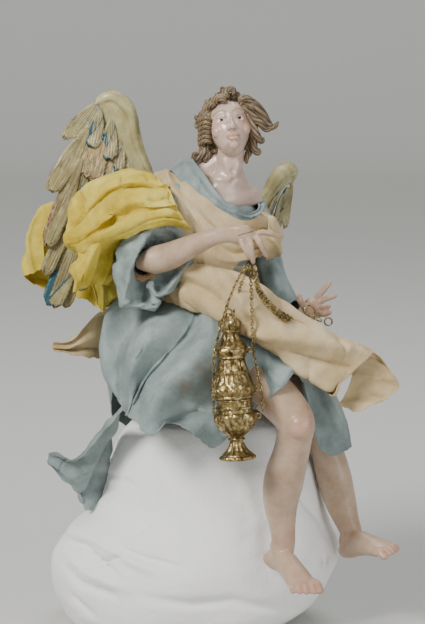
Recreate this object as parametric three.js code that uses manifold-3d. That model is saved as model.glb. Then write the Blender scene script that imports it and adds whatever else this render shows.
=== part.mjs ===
// A dressed crib angel, seated on a cloth-covered display mound and holding a censer by its chains.
// The head and shoulders are modelled clay, the limbs and wings carved wood, the clothes stiffened cloth,
// and the censer cast and chased brass. Millimetres, +Z up, with the origin under the middle of the mound.
// The angel faces between +X and -Y. Its right side is the one towards -Y.
import * as THREE from "three";
import { SimplifyModifier } from "three/addons/modifiers/SimplifyModifier.js";
import { mergeVertices } from "three/addons/utils/BufferGeometryUtils.js";
import Module from "manifold-3d";

const kit = await Module();
kit.setup();

// Driving dimensions
const GAP = 0.9; // room left between a piece and the one that it rests on
const LOOSE = 1.6; // the same round the sash and the mantle
const CLEAR = 0.15; // the least room anywhere
const SLACK = { cloth: 0.7, carved: 0.3, metal: 0.12, last: 0.02 }; // smaller steps than these are dropped
const CLOTH = 1.8; // stiffened cloth
const LINK_PITCH = 4.4;
const LINK_WIDTH = 1.9;
const SHOULDER_AXIS = [0.775, 0.56, -0.28]; // from the right shoulder to the left one
const HEAD_TURN = { yaw: 5, pitch: 25, roll: 7 }; // degrees
const SKULL = { width: 31, depth: 38, height: 36 };

// Small vector and curve helpers

const plus = (a, b, s = 1) => a.map((v, k) => v + b[k] * s);
const minus = (a, b) => plus(a, b, -1);
const dot = (a, b) => a.reduce((sum, v, k) => sum + v * b[k], 0);
const cross = (a, b) => [
  a[1] * b[2] - a[2] * b[1],
  a[2] * b[0] - a[0] * b[2],
  a[0] * b[1] - a[1] * b[0],
];
const unit = (a) => {
  const size = Math.hypot(...a) || 1;
  return a.map((v) => v / size);
};
const mix = (a, b, t) => a.map((v, k) => v + (b[k] - v) * t);

// A smooth curve through rows of numbers, at t from 0 to 1.
function through(rows, t, closed = false) {
  const n = rows.length;
  const spans = closed ? n : n - 1;
  const s = Math.min(Math.max(t, 0), 1) * spans;
  const i = Math.min(Math.floor(s), spans - 1);
  const f = s - i;
  const pick = (k) => (closed ? rows[(k + n) % n] : rows[Math.min(Math.max(k, 0), n - 1)]);
  const [a, b, c, d] = [pick(i - 1), pick(i), pick(i + 1), pick(i + 2)];
  return b.map((v, k) => {
    const bend = 2 * a[k] - 5 * v + 4 * c[k] - d[k];
    const twist = 3 * v - a[k] - 3 * c[k] + d[k];
    return v + 0.5 * f * (c[k] - a[k] + f * (bend + f * twist));
  });
}

const count = (n, make) => Array.from({ length: n }, (_, i) => make(i));

// Solids

function solidOf(spots, faces) {
  const made = new kit.Manifold(
    new kit.Mesh({
      numProp: 3,
      vertProperties: new Float32Array(spots.flat()),
      triVerts: new Uint32Array(faces.flat()),
    }),
  );
  return made.volume() < 0 ? solidOf(spots, faces.map(([a, b, c]) => [a, c, b])) : made;
}

function fromGeometry(geometry) {
  const bare = geometry.clone();
  bare.deleteAttribute("normal");
  bare.deleteAttribute("uv");
  const merged = mergeVertices(bare, 1e-3);
  const flat = Array.from(merged.attributes.position.array);
  const order = Array.from(merged.index.array);
  const spots = count(flat.length / 3, (i) => flat.slice(3 * i, 3 * i + 3));
  const faces = count(order.length / 3, (i) => order.slice(3 * i, 3 * i + 3));
  return solidOf(spots, faces.filter(([a, b, c]) => a !== b && b !== c && c !== a));
}

function facesOf(solid) {
  const mesh = solid.getMesh();
  const spots = count(mesh.numVert, (i) =>
    Array.from(mesh.vertProperties.subarray(i * mesh.numProp, i * mesh.numProp + 3)),
  );
  return [spots, count(mesh.numTri, (i) => Array.from(mesh.triVerts.subarray(3 * i, 3 * i + 3)))];
}

function geometryOf(solid) {
  const [spots, faces] = facesOf(solid);
  const geometry = new THREE.BufferGeometry();
  geometry.setAttribute("position", new THREE.Float32BufferAttribute(spots.flat(), 3));
  geometry.setIndex(faces.flat());
  return geometry;
}

// True where each edge of a solid joins just two faces, with points that coincide counted as one.
function isClosed(solid) {
  const [spots, faces] = facesOf(solid);
  const place = (i) => spots[i].map((v) => v.toFixed(3)).join();
  const uses = new Map();
  for (const face of faces) {
    face.forEach((corner, k) => {
      const edge = [place(corner), place(face[(k + 1) % 3])].sort().join(" to ");
      uses.set(edge, (uses.get(edge) ?? 0) + 1);
    });
  }
  return [...uses.values()].every((times) => times === 2);
}

// The outer skin of a solid's largest body, without the crumbs and hollows that cuts and joins leave.
// Where it still pinches itself, a little more of it is smoothed away.
function whole(solid, slack = SLACK.carved) {
  const largest = (bodies) => bodies.reduce((best, b) => (b.volume() > best.volume() ? b : best));
  const outer = largest(solid.simplify(slack).decompose());
  const made = largest(fromGeometry(geometryOf(outer)).decompose());
  return isClosed(made) ? made : whole(made, slack + SLACK.last);
}

const join = (solids, slack) => whole(solids.reduce((all, one) => all.add(one)), slack);

// The same solid with its surface moved out a little, to cut its neighbours with.
function grown(solid, by) {
  const [spots, faces] = facesOf(solid);
  const out = spots.map(() => [0, 0, 0]);
  for (const face of faces) {
    const [a, b, c] = face.map((i) => spots[i]);
    const n = cross(minus(b, a), minus(c, a));
    for (const i of face) out[i] = plus(out[i], n);
  }
  return solidOf(spots.map((p, i) => plus(p, unit(out[i]), by)), faces);
}

// A solid less its neighbours and the room round them.
const cutBy = (solid, cutters, slack, room = GAP) =>
  whole(cutters.reduce((left, cutter) => left.subtract(grown(cutter, room)).subtract(cutter), solid), slack);

// A solid with the given share of its corners, the flattest dropped first, still clear of its neighbours.
async function thinned(solid, share, neighbours = []) {
  const geometry = geometryOf(solid);
  const drop = Math.round(geometry.attributes.position.count * (1 - share));
  const thin = fromGeometry(await new SimplifyModifier().modify(geometry, drop));
  return cutBy(thin, neighbours, SLACK.last, CLEAR);
}

// A closed skin over rings of points, each end closed on its middle.
function loft(rings) {
  const n = rings[0].length;
  const middle = (ring) => ring.reduce((sum, p) => plus(sum, p, 1 / n), [0, 0, 0]);
  const spots = [...rings.flat(), middle(rings[0]), middle(rings.at(-1))];
  const [first, last] = [spots.length - 2, spots.length - 1];
  const faces = [];
  for (let i = 0; i < n; i++) {
    const j = (i + 1) % n;
    faces.push([first, j, i], [last, last - 1 - n + i, last - 1 - n + j]);
    for (let r = 0; r + 1 < rings.length; r++) {
      const [a, b] = [r * n, (r + 1) * n];
      faces.push([a + i, a + j, b + j], [a + i, b + j, b + i]);
    }
  }
  return solidOf(spots, faces);
}

// A limb through stations of [x, y, z, half width, half depth]. The width runs towards side. Ridges are
// [how many, how high, how far they wind] round it.
function limb(stations, { side = [1, 0, 0], sides = 10, steps = 8, round = 0.7, ridges = [0, 0, 0] } = {}) {
  const at = (t) => through(stations, t);
  const ring = (t, shrink, shift) => {
    const row = at(t);
    const along = unit(minus(at(t + 0.02).slice(0, 3), at(t - 0.02).slice(0, 3)));
    const u = unit(plus(side, along, -dot(side, along)));
    const w = cross(along, u);
    const centre = plus(row.slice(0, 3), along, shift * Math.min(row[3], row[4]));
    return count(sides, (i) => {
      const a = (2 * Math.PI * i) / sides;
      const lift = ridges[1] * Math.cos(ridges[0] * a + ridges[2] * t);
      const across = plus(centre, u, (row[3] * shrink + lift) * Math.cos(a));
      return plus(across, w, (row[4] * shrink + lift) * Math.sin(a));
    });
  };
  const rings = count(steps + 1, (i) => ring(i / steps, 1, 0));
  return loft([ring(0, 0.6, -round), ...rings, ring(1, 0.6, round)]);
}

const tube = (points, r0, r1, options) =>
  limb(
    points.map((p, i) => {
      const r = r0 + ((r1 - r0) * i) / (points.length - 1);
      return [...p, r, r];
    }),
    options,
  );

// Cloth between ribs of points. A fold runs from one place [u, v] on the cloth to another, and stands
// up by its height over its half width: u counts the ribs' order and v runs along each rib.
function clothGrid(ribs, across, along, { closed = false, folds = [] } = {}) {
  const base = (u, v) => through(ribs.map((rib) => through(rib, v)), u, closed);
  return count(across, (i) =>
    count(along, (j) => {
      const u = i / (closed ? across : across - 1);
      const v = j / (along - 1);
      const p = base(u, v);
      const du = minus(base(u + 0.01, v), base(u - 0.01, v));
      const dv = minus(base(u, v + 0.01), base(u, v - 0.01));
      const n = unit(cross(du, dv));
      return plus(p, n, folds.reduce((sum, fold) => sum + foldHeight(fold, u, v), 0));
    }),
  );
}

function foldHeight([[u0, v0], [u1, v1], height, width], u, v) {
  const [du, dv] = [u1 - u0, v1 - v0];
  const t = ((u - u0) * du + (v - v0) * dv) / (du * du + dv * dv);
  const s = Math.min(Math.max(t, 0), 1);
  const away = Math.hypot(u - u0 - s * du, v - v0 - s * dv) / width;
  return away < 1 ? height * Math.cos((away * Math.PI) / 2) ** 2 : 0;
}

// A thin solid over a grid of points.
function sheet(grid, thick = CLOTH) {
  const [rows, cols] = [grid.length, grid[0].length];
  const at = (i, j) => grid[Math.min(Math.max(i, 0), rows - 1)][Math.min(Math.max(j, 0), cols - 1)];
  const side = (sign) =>
    grid.flatMap((row, i) =>
      row.map((p, j) => {
        const n = unit(cross(minus(at(i + 1, j), at(i - 1, j)), minus(at(i, j + 1), at(i, j - 1))));
        return plus(p, n, (sign * thick) / 2);
      }),
    );
  const total = rows * cols;
  const faces = [];
  for (let i = 0; i + 1 < rows; i++)
    for (let j = 0; j + 1 < cols; j++) {
      const [a, b, c, d] = [i * cols + j, (i + 1) * cols + j, (i + 1) * cols + j + 1, i * cols + j + 1];
      faces.push([a, b, c], [a, c, d]);
      faces.push([total + a, total + c, total + b], [total + a, total + d, total + c]);
    }
  const rim = [
    ...count(cols, (j) => j),
    ...count(rows - 1, (i) => (i + 2) * cols - 1),
    ...count(cols - 1, (j) => rows * cols - 2 - j),
    ...count(rows - 2, (i) => (rows - 2 - i) * cols),
  ];
  rim.forEach((a, i) => {
    const b = rim[(i + 1) % rim.length];
    faces.push([a, b, total + b], [a, total + b, total + a]);
  });
  return solidOf([...side(1), ...side(-1)], faces);
}

// The display mound: levels of [height, left, right, front, back]
const MOUND = [
  [0, -103, 52, -44, 80],
  [8, -110, 70, -52, 88],
  [24, -118, 82, -56, 94],
  [45, -120, 90, -57, 96],
  [60, -114, 91, -54, 94],
  [74, -102, 86, -50, 88],
  [84, -84, 83, -46, 82],
  [98, -77, 81, -42, 78],
  [119, -73, 77, -38, 74],
  [139, -66, 66, -32, 66],
  [150, -57, 56, -26, 58],
  [158, -42, 42, -14, 46],
];

function mound() {
  const around = 22;
  const ring = ([z, left, right, front, back]) =>
    count(around, (i) => {
      const a = (2 * Math.PI * i) / around;
      const pleat = 1 + 0.02 * Math.sin(5 * a + z / 22) + 0.014 * Math.sin(9 * a - z / 15);
      const reach = Math.cos(a) * pleat;
      const x = (left + right) / 2 + ((right - left) / 2) * reach;
      return [x, (front + back) / 2 + ((back - front) / 2) * Math.sin(a) * pleat, z];
    });
  return loft(MOUND.map(ring));
}

// Legs: stations of [x, y, z, half width, half depth], from the thigh down to the heel
const RIGHT_LEG = [
  [2, -46, 209, 16, 16],
  [27.5, -62, 194.5, 16, 16],
  [47.5, -72, 178, 14.5, 14.5],
  [58, -77, 163, 13, 13.5],
  [56, -73, 147, 11.5, 12],
  [49.5, -66, 120, 12.5, 13],
  [48, -63, 97.5, 10.3, 10.5],
  [50, -62, 79.5, 8.6, 8.6],
  [48.5, -60, 68, 9, 9],
];
const LEFT_LEG = [
  [9, 22, 203.5, 16, 16],
  [45.5, 6, 182, 16, 16],
  [76, -6, 154.5, 13, 13.5],
  [82, -3, 132, 11.5, 11.5],
  [88, -2, 108, 11.5, 12],
  [94.5, -4, 86.5, 9.6, 9.8],
  [100.5, -6, 70.5, 8.2, 8.2],
  [100, -5, 60.5, 8.5, 8.5],
];
const RIGHT_FOOT = { heel: [43, -53, 62], toes: [64, -90, 51.5], across: [0.86, 0.5, 0.06] };
const LEFT_FOOT = { heel: [98.5, -4, 57.5], toes: [124.5, -34, 65], across: [-0.6, -0.7, -0.1] };

// A foot from the heel to the ball, with five toes. across points to the big toe.
function foot({ heel, toes, across }) {
  const axis = unit(minus(toes, heel));
  const side = unit(plus(across, axis, -dot(across, axis)));
  const up = unit(cross(side, axis).map((v, k, all) => v * (all[2] < 0 ? -1 : 1)));
  const length = Math.hypot(...minus(toes, heel));
  const along = (t, lift, w, d) => [...plus(plus(heel, axis, t * length), up, lift), w, d];
  const sole = limb(
    [along(0, 1, 7, 7.5), along(0.3, 3.5, 8, 9.5), along(0.65, 1.5, 9.5, 7), along(1, -1.2, 11, 4.6)],
    { side, sides: 8, steps: 4 },
  );
  const toe = (k) => {
    const share = k / 4;
    const start = plus(plus(toes, side, 8.6 - 17.4 * share), up, -1.4);
    const reach = [10, 10.5, 9, 7, 4.5][k];
    const r = [3.5, 2.5, 2.4, 2.3, 2.3][k];
    const tip = plus(plus(start, axis, reach), up, -1.6);
    return tube([start, plus(mix(start, tip, 0.6), up, 0.9), tip], r, r * 0.9, { side, sides: 5, steps: 1 });
  };
  return join([sole, ...count(5, toe)]);
}

function leg(stations, footPlan) {
  return join([limb(stations, { side: [0.7, 0.7, 0], sides: 10, steps: 10 }), foot(footPlan)]);
}

// Arms and hands
const RIGHT_ARM = [
  [-50.5, -54, 272.5, 9, 9],
  [-41, -57, 275, 9.6, 9.6],
  [-22.5, -68, 282.5, 8.4, 8.4],
  [-4.5, -80, 292.5, 6.6, 6.6],
  [6.5, -86, 296.5, 6, 5.2],
  [16, -91, 297, 8, 4.6],
  [25, -93, 296.5, 8, 4],
  [31, -92, 297, 5, 3.6],
];
const RIGHT_FINGERS = [
  [[19, -92, 295.5], [22, -96, 288], [25, -95, 281.5]],
  [[24.5, -93, 296.5], [26.5, -98, 287], [28, -96, 277.5]],
  [[29, -92, 296.5], [33, -97, 289.5], [37, -93, 282]],
  [[29.5, -92, 298], [39.5, -90, 297.5], [47, -84, 294.5]],
  [[19, -90, 295], [24.5, -85, 285.5], [29, -86, 282]],
];
const LEFT_ARM = [
  [55.5, -8, 225, 6.4, 6.4],
  [63, -20, 230, 5.6, 5],
  [68.5, -26, 234.5, 7, 3.8],
  [74, -29, 240, 7.5, 3.2],
];
const LEFT_FINGERS = [
  [[68, -26, 235.5], [63, -32, 241], [62.5, -33, 248]],
  [[71.5, -28, 240], [78.5, -26, 249.5], [84, -23, 256]],
  [[72.5, -29, 239.5], [81, -29, 244.5], [88, -27, 246]],
  [[72, -28, 237], [79.5, -34, 238.5], [83, -38, 241.5]],
  [[71.5, -27, 235], [79, -35, 235], [83.5, -39, 236.5]],
];

function arm(stations, fingers, side) {
  const r = [2.3, 2.1, 2.1, 2.0, 2.3];
  const parts = fingers.map((points, k) => tube(points, r[k], r[k] * 0.8, { sides: 5, steps: 2 }));
  return join([limb(stations, { side, sides: 9, steps: 8 }), ...parts]);
}

// The ring of tow that pads the wire at the right elbow, seen inside the sleeve's mouth
const TOW_AT = [-48.5, -47, 270];
const TOW_RING = { radius: 8.8, thick: 2.4, tilt: -25 }; // mm, and degrees that its axis leans back

function elbowTow() {
  const { radius, thick, tilt } = TOW_RING;
  const ring = new THREE.TorusGeometry(radius, thick, 6, 14).rotateX(THREE.MathUtils.degToRad(90 + tilt));
  return fromGeometry(ring.translate(...TOW_AT));
}

// Head and shoulders in one modelled piece. The head's own frame has +X to its left, +Z to its crown
// and -Y out of its face.
const HEAD_AT = [11.5, -7, 364];
const NECK = [
  [12, -4, 356.5, 11, 11.5],
  [12, -6, 342.5, 10.2, 10.8],
  [11, -6, 331, 11, 11],
  [10.5, -5, 322.5, 20, 13],
  [10.5, -4, 314, 29, 15],
  [9.5, -2, 302, 27, 13],
];

// Locks of hair as [start turn, start height, end turn, end height, lift off the skull, half width].
// Turns go round the crown from the face towards the head's left, and heights rise to the crown, in degrees.
const LOCKS = [
  [8, 58, -2, 82, 8, 5.2],
  [-16, 52, -44, 64, 4, 5],
  [34, 52, 54, 54, 5, 5],
  [46, 40, 68, 34, 6, 5],
  [-40, 38, -68, 40, 6, 5],
  [58, 26, 84, 20, 14, 5],
  [64, 4, 80, -10, 7, 4.6],
  [74, -14, 84, -38, 7, 4.6],
  [-58, 18, -82, 18, 7, 5],
  [-66, -2, -84, -12, 6, 4.8],
  [-76, -18, -96, -40, 9, 5],
  [-92, -22, -114, -46, 11, 5.2],
  [104, 20, 128, -10, 5, 6.4],
  [-106, 20, -130, -10, 5, 6.4],
  [160, 30, 160, -10, 5, 7],
  [-158, 30, -158, -10, 5, 7],
  [180, -10, 180, -38, 5, 7],
  [128, -12, 134, -38, 6, 6],
];

function headMatrix() {
  const { yaw, pitch, roll } = HEAD_TURN;
  const rad = THREE.MathUtils.degToRad;
  return new THREE.Matrix4()
    .makeTranslation(...HEAD_AT)
    .multiply(new THREE.Matrix4().makeRotationZ(rad(yaw)))
    .multiply(new THREE.Matrix4().makeRotationX(rad(-pitch)))
    .multiply(new THREE.Matrix4().makeRotationY(rad(-roll)));
}

function headAndShoulders() {
  const { width, depth, height } = SKULL;
  const onSkull = (turn, rise, lift) => {
    const [a, e] = [turn, rise].map(THREE.MathUtils.degToRad);
    const [x, y, z] = [Math.sin(a) * Math.cos(e), -Math.cos(a) * Math.cos(e), Math.sin(e)];
    return [x * (width / 2 + lift), y * (depth / 2 + lift), z * (height / 2 + lift) + 3];
  };
  const ball = (w, d, h, y, z, around = 12) => {
    const made = new THREE.SphereGeometry(1, around, Math.ceil(around * 0.65)).rotateX(Math.PI / 2);
    return fromGeometry(made.scale(w / 2, d / 2, h / 2).translate(0, y, z));
  };
  const skull = ball(width, depth, height, 0, 3);
  const hair = ball(width + 5, depth + 2, height + 4, 4, 5.5);
  const jaw = limb(
    [[0, -3, -2, 14.6, 14], [0, -5.4, -9, 13.6, 12], [0, -8, -15.5, 10.4, 8.6], [0, -9.4, -19.5, 5.6, 5.4]],
    { sides: 10, steps: 4 },
  );
  const nose = limb([[0, -17.8, 3.5, 1.4, 1.4], [0, -19.6, -2, 1.7, 2], [0, -19.6, -5, 2.6, 2.3]], {
    sides: 6,
    steps: 2,
  });
  const lips = limb([[-4, -16, -10, 0.9, 0.9], [0, -17.4, -9.8, 2, 1.7], [4, -16, -10, 0.9, 0.9]], {
    side: [0, 0, 1],
    sides: 6,
    steps: 4,
  });
  const brows = [-1, 1].map((s) =>
    limb([[s * 2.2, -18, 4.6, 1, 1.2], [s * 6.6, -17, 6, 1.4, 1.3], [s * 11.2, -13.4, 5, 1.1, 1.2]], {
      side: [0, 0, 1],
      sides: 5,
      steps: 3,
    }),
  );
  const eyes = [-1, 1].map((s) => ball(6.4, 6, 3.8, 0, 0, 6).translate(s * 6.2, -14.2, 1.4));
  const lock = ([turn0, rise0, turn1, rise1, lift, r]) => {
    const start = onSkull(turn0, rise0, -1);
    const middle = onSkull((turn0 + turn1) / 2, (rise0 + rise1) / 2, 2.5);
    const late = onSkull(turn0 * 0.2 + turn1 * 0.8, rise0 * 0.2 + rise1 * 0.8 - 6, lift * 0.6);
    const end = onSkull(turn1, rise1, lift);
    const root = [[...start, r, r * 0.7], [...middle, r, r * 0.8]];
    const rows = [...root, [...late, r * 0.8, r * 0.7], [...end, r * 0.4, r * 0.4]];
    return limb(rows, { side: [0, 0, 1], sides: 5, steps: 3 });
  };
  const head = join([skull, hair, jaw, nose, lips, ...brows, ...eyes, ...LOCKS.map(lock)]);
  const bust = limb(NECK, { side: SHOULDER_AXIS, sides: 12, steps: 6, round: 0.3 });
  return join([head.transform(headMatrix().elements), bust]);
}

// The tunic: bodice, sleeves, skirt and its loose tail, with the padded body that fills them
const BODICE = [
  [6, -2, 312, 32, 17],
  [4.5, -3, 305, 38, 22],
  [1, -4, 292.5, 39, 24],
  [-4.5, -4, 275, 34, 23],
  [-11, 0, 254, 31, 21],
  [-22, 2, 226.5, 36, 26],
  [-29.5, 4, 202.5, 40, 30],
];
const LEFT_SLEEVE = [
  [25, 20, 304, 14, 15],
  [31.5, 22, 282, 15, 15],
  [36.5, 10, 261.5, 13.5, 14],
  [42.5, -4, 244.5, 12.5, 13],
  [56, -16, 233, 8.5, 8.5],
];
const RIGHT_SLEEVE = [
  [-26, -14, 316, 15, 15],
  [-38.5, -28, 296.5, 16, 16],
  [-47.5, -35, 280, 17, 17],
  [-51, -38, 273.5, 18, 17],
];
const CUFF = [
  [-51, -34, 271.5, 20, 20],
  [-49.5, -46, 270, 26, 25],
  [-43.5, -57, 271.5, 27.5, 25.5],
  [-39.5, -64, 273.5, 25.5, 23.5],
];
const CUFF_MOUTH = [
  [-45.5, -44, 272, 11, 11],
  [-42.5, -50, 272.5, 18, 17],
  [-38.5, -62, 275, 21.5, 20],
  [-35, -76, 278, 23.5, 22],
];

// Ribs of the skirt, each from the waist to the hem, in turn round the body
const SKIRT = [
  [[-29, -14, 247.5], [-69, -8, 241], [-81, 0, 210.5], [-80.5, -4, 191], [-72, -16, 175.5]],
  [[-23, -22, 245.5], [-51.5, -26, 234.5], [-61.5, -30, 211.5], [-65, -34, 187], [-62, -46, 167]],
  [[-19, -30, 246], [-36.5, -58, 235.5], [-51.5, -74, 217.5], [-59.5, -70, 194.5], [-60, -56, 167]],
  [[-13, -36, 246], [-14.5, -56, 227.5], [-31, -60, 208.5], [-46.5, -60, 191.5], [-57, -62, 165.5]],
  [[-7.5, -42, 246], [-4, -76, 232.5], [-21, -88, 210], [-39, -84, 188.5], [-52, -72, 161.5]],
  [[-2, -46, 246], [5, -80, 226], [-5, -84, 202.5], [-20, -74, 181], [-42, -80, 155]],
  [[2.5, -48, 246.5], [16.5, -76, 225.5], [11, -76, 199.5], [-4.5, -66, 178], [-28.5, -72, 163]],
  [[6.5, -46, 246], [24.5, -72, 223], [22, -73, 196.5], [8, -66, 175.5], [-14.5, -74, 156]],
  [[11, -42, 247], [31.5, -68, 219.5], [30.5, -74, 195], [19, -70, 173], [3, -66, 145.5]],
  [[14.5, -36, 247], [37.5, -68, 216.5], [38.5, -78, 202.5], [34.5, -80, 189], [27.5, -76, 171.5]],
  [[16.5, -30, 246.5], [41.5, -60, 214], [48, -76, 206.5], [51, -84, 201], [47.5, -88, 190.5]],
  [[18, -22, 247], [47.5, -46, 213.5], [57, -62, 206], [61, -68, 201], [61, -68, 194]],
  [[18, -12, 247], [50.5, -34, 214.5], [63, -44, 196], [69, -38, 164.5], [78, -30, 135]],
  [[17, -2, 247], [55.5, -16, 213], [75, -26, 191.5], [88, -28, 164.5], [100.5, -12, 135]],
  [[11, 16, 246.5], [46.5, 30, 216.5], [69, 40, 182], [78, 44, 151.5], [81, 44, 132]],
  [[-0.5, 30, 246], [20.5, 66, 223], [34, 80, 183.5], [37.5, 84, 144.5], [37.5, 84, 121.5]],
  [[-13.5, 32, 245.5], [-19.5, 70, 225.5], [-21.5, 84, 186], [-21.5, 90, 143.5], [-21.5, 90, 120.5]],
  [[-25, 18, 246], [-60.5, 44, 232], [-68.5, 58, 194.5], [-70.5, 58, 162.5], [-70.5, 56, 142]],
];
const SKIRT_FOLDS = [
  [[0.8, 0.35], [0.8, 1.0], -6, 0.03],
  [[0.86, 0.35], [0.87, 1.0], 6, 0.03],
  [[0.92, 0.35], [0.92, 1.0], -5, 0.03],
  [[0.72, 0.3], [0.71, 1.0], 5, 0.03],
  [[0.3, 0.8], [0.44, 0.86], -4, 0.05],
];
const TAIL = [
  [[-61, -44, 174.5], [-69, -22, 162], [-73, 0, 149]],
  [[-71, -30, 157.5], [-80.5, -8, 146], [-76.5, 16, 127]],
  [[-86.5, -22, 136.5], [-87.5, 4, 120.5], [-81, 18, 104]],
  [[-96.5, -18, 124.5], [-96.5, 4, 105.5], [-88, 10, 91]],
  [[-108.5, -8, 130], [-106.5, 6, 111], [-92, 0, 88]],
  [[-118.5, -4, 126.5], [-116, 8, 115], [-109.5, 6, 105]],
];
const YOKE = [
  [[-13, -18, 341.5], [-20, -18, 339.5], [-29.5, -18, 335]],
  [[-5.5, -24, 332], [-12.5, -27, 329], [-20, -30, 325]],
  [[5.5, -28, 317.5], [-0.5, -32, 313.5], [-6.5, -34, 308.5]],
  [[16, -28, 310.5], [12.5, -32, 306], [8, -34, 300]],
  [[26, -25, 307.5], [26.5, -27, 302.5], [27, -30, 296.5]],
  [[32.5, -18, 309.5], [34.5, -18, 305], [36.5, -20, 299.5]],
  [[34, -4, 316.5], [37.5, -2, 312], [41, -2, 305]],
  [[27, 14, 323.5], [30.5, 18, 320.5], [34.5, 20, 313]],
  [[14, 24, 331.5], [17, 28, 328], [20, 30, 319]],
  [[-3, 18, 339], [-6, 24, 337], [-7.5, 28, 326.5]],
  [[-13, -2, 343.5], [-20.5, 2, 343.5], [-30.5, 8, 334]],
];

function tunic() {
  const rings = clothGrid(SKIRT, 42, 7, { closed: true, folds: SKIRT_FOLDS });
  const skirt = loft(count(7, (j) => rings.map((rib) => rib[j])));
  const yoke = clothGrid([...YOKE, YOKE[0]], 19, 3);
  const arm = limb(RIGHT_SLEEVE, { sides: 12, steps: 5, round: 0.1 });
  const cuff = limb(CUFF, { side: [0, 0, 1], sides: 12, steps: 4, round: 0.2 });
  const mouth = limb(CUFF_MOUTH, { side: [0, 0, 1], sides: 10, steps: 3, round: 0.1 });
  return join([
    skirt,
    limb(BODICE, { side: SHOULDER_AXIS, sides: 12, steps: 7, round: 0.5 }),
    limb(LEFT_SLEEVE, { sides: 10, steps: 6, ridges: [3, 1, 9] }),
    arm.add(cuff).subtract(mouth),
    sheet(yoke, 2.4),
    sheet(clothGrid(TAIL, 11, 5, { folds: [[[0.1, 0.5], [0.9, 0.4], 5, 0.25]] }), 3),
  ], SLACK.cloth);
}

// The sash: over the right shoulder, across the chest, round the waist, and out to a loose end
const CHEST_WRAP = [
  [[-40.5, 10, 331], [-45, 2, 324.5], [-45.5, -26, 311], [-38.5, -36, 287.5]],
  [[-31.5, -8, 333.5], [-33, -28, 324.5], [-30, -40, 306], [-24, -44, 272.5]],
  [[-20, -28, 328], [-18.5, -38, 318], [-16, -44, 295], [-11.5, -48, 266]],
  [[-5.5, -36, 317], [-4.5, -43, 306.5], [-2, -46, 287], [1, -50, 262]],
  [[9.5, -38, 306.5], [11, -43, 296.5], [13, -44, 281], [13.5, -48, 262]],
  [[23, -34, 300.5], [25, -38, 291.5], [26.5, -38, 277.5], [23.5, -38, 262]],
  [[32, -26, 303], [38, -26, 293], [39.5, -24, 279], [33.5, -22, 264]],
  [[38, -6, 307], [44, 2, 293], [44, 4, 277], [38.5, 4, 261]],
];
const CHEST_FOLDS = [
  [[0.1, 0.5], [0.55, 0.1], 3, 0.09],
  [[0.25, 0.55], [0.33, 0.9], 4, 0.06],
  [[0.45, 0.75], [0.85, 0.9], 4, 0.08],
  [[0.72, 0.2], [0.85, 0.6], 4, 0.06],
];
const WAIST_ROLL = [
  [-31.5, -22, 247, 8, 6],
  [-20, -48, 255.5, 14, 9],
  [-0.5, -62, 255, 18, 10],
  [19, -72, 248, 18, 11],
  [37, -78, 236.5, 19, 11],
  [58, -74, 220.5, 17, 9],
  [80.5, -68, 205.5, 18, 9],
  [99, -64, 195, 18.5, 9],
  [113, -61, 185, 15, 5],
];
const ROLL_END = [
  [[96, -64, 213], [107, -72, 203], [111, -72, 190.5], [105, -62, 172]],
  [[111.5, -62, 208], [118, -68, 199.5], [119.5, -68, 188.5], [109, -60, 173]],
  [[121, -60, 197], [128.5, -58, 191], [127.5, -58, 183], [115, -58, 175.5]],
];
const SIDE_LOOP = [
  [[34.5, -44, 306.5], [40, -48, 298.5], [34.5, -52, 292]],
  [[42, -36, 298.5], [46.5, -40, 289], [39, -46, 284]],
  [[44, -34, 287], [49, -34, 280], [39, -42, 276]],
];
const BACK_END = [
  [[-6, 22, 264.5], [-7.5, 26, 255.5], [-10.5, 30, 244.5]],
  [[-19.5, 52, 246], [-22.5, 70, 230], [-24.5, 82, 212]],
  [[-46.5, 74, 231], [-50, 82, 215], [-51.5, 86, 194.5]],
  [[-71.5, 58, 227.5], [-76.5, 70, 206], [-76.5, 74, 186.5]],
  [[-86, 50, 216.5], [-92.5, 58, 200.5], [-94, 60, 189.5]],
  [[-104, 52, 203], [-108.5, 57, 197.5], [-108.5, 55, 192.5]],
  [[-118, 55, 199.5], [-119, 57, 197], [-117, 55, 195]],
];
const WAIST_BAND = [
  [-7, 0, 267.5, 37, 25],
  [-9.5, 0, 257, 36, 26],
  [-14, 0, 245.5, 39, 29],
];

function sash(cutters) {
  const back = clothGrid(BACK_END, 9, 4, { folds: [[[0.3, 0.5], [0.9, 0.5], 4, 0.35]] });
  const cloth = join([
    sheet(clothGrid(CHEST_WRAP, 13, 7, { folds: CHEST_FOLDS }), 3.4),
    limb(WAIST_ROLL, { side: [0, 0, 1], sides: 12, steps: 11, round: 0.2, ridges: [5, 1.9, 5] }),
    limb(WAIST_BAND, { side: SHOULDER_AXIS, sides: 14, steps: 2, round: 0.1 }),
    sheet(clothGrid(ROLL_END, 5, 6), 2.6),
    sheet(clothGrid(SIDE_LOOP, 5, 5, { folds: [[[0, 0.5], [1, 0.5], 5, 0.4]] }), 2.6),
    sheet(back, 3),
  ]);
  return cutBy(cloth, cutters, SLACK.cloth, LOOSE);
}

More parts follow.
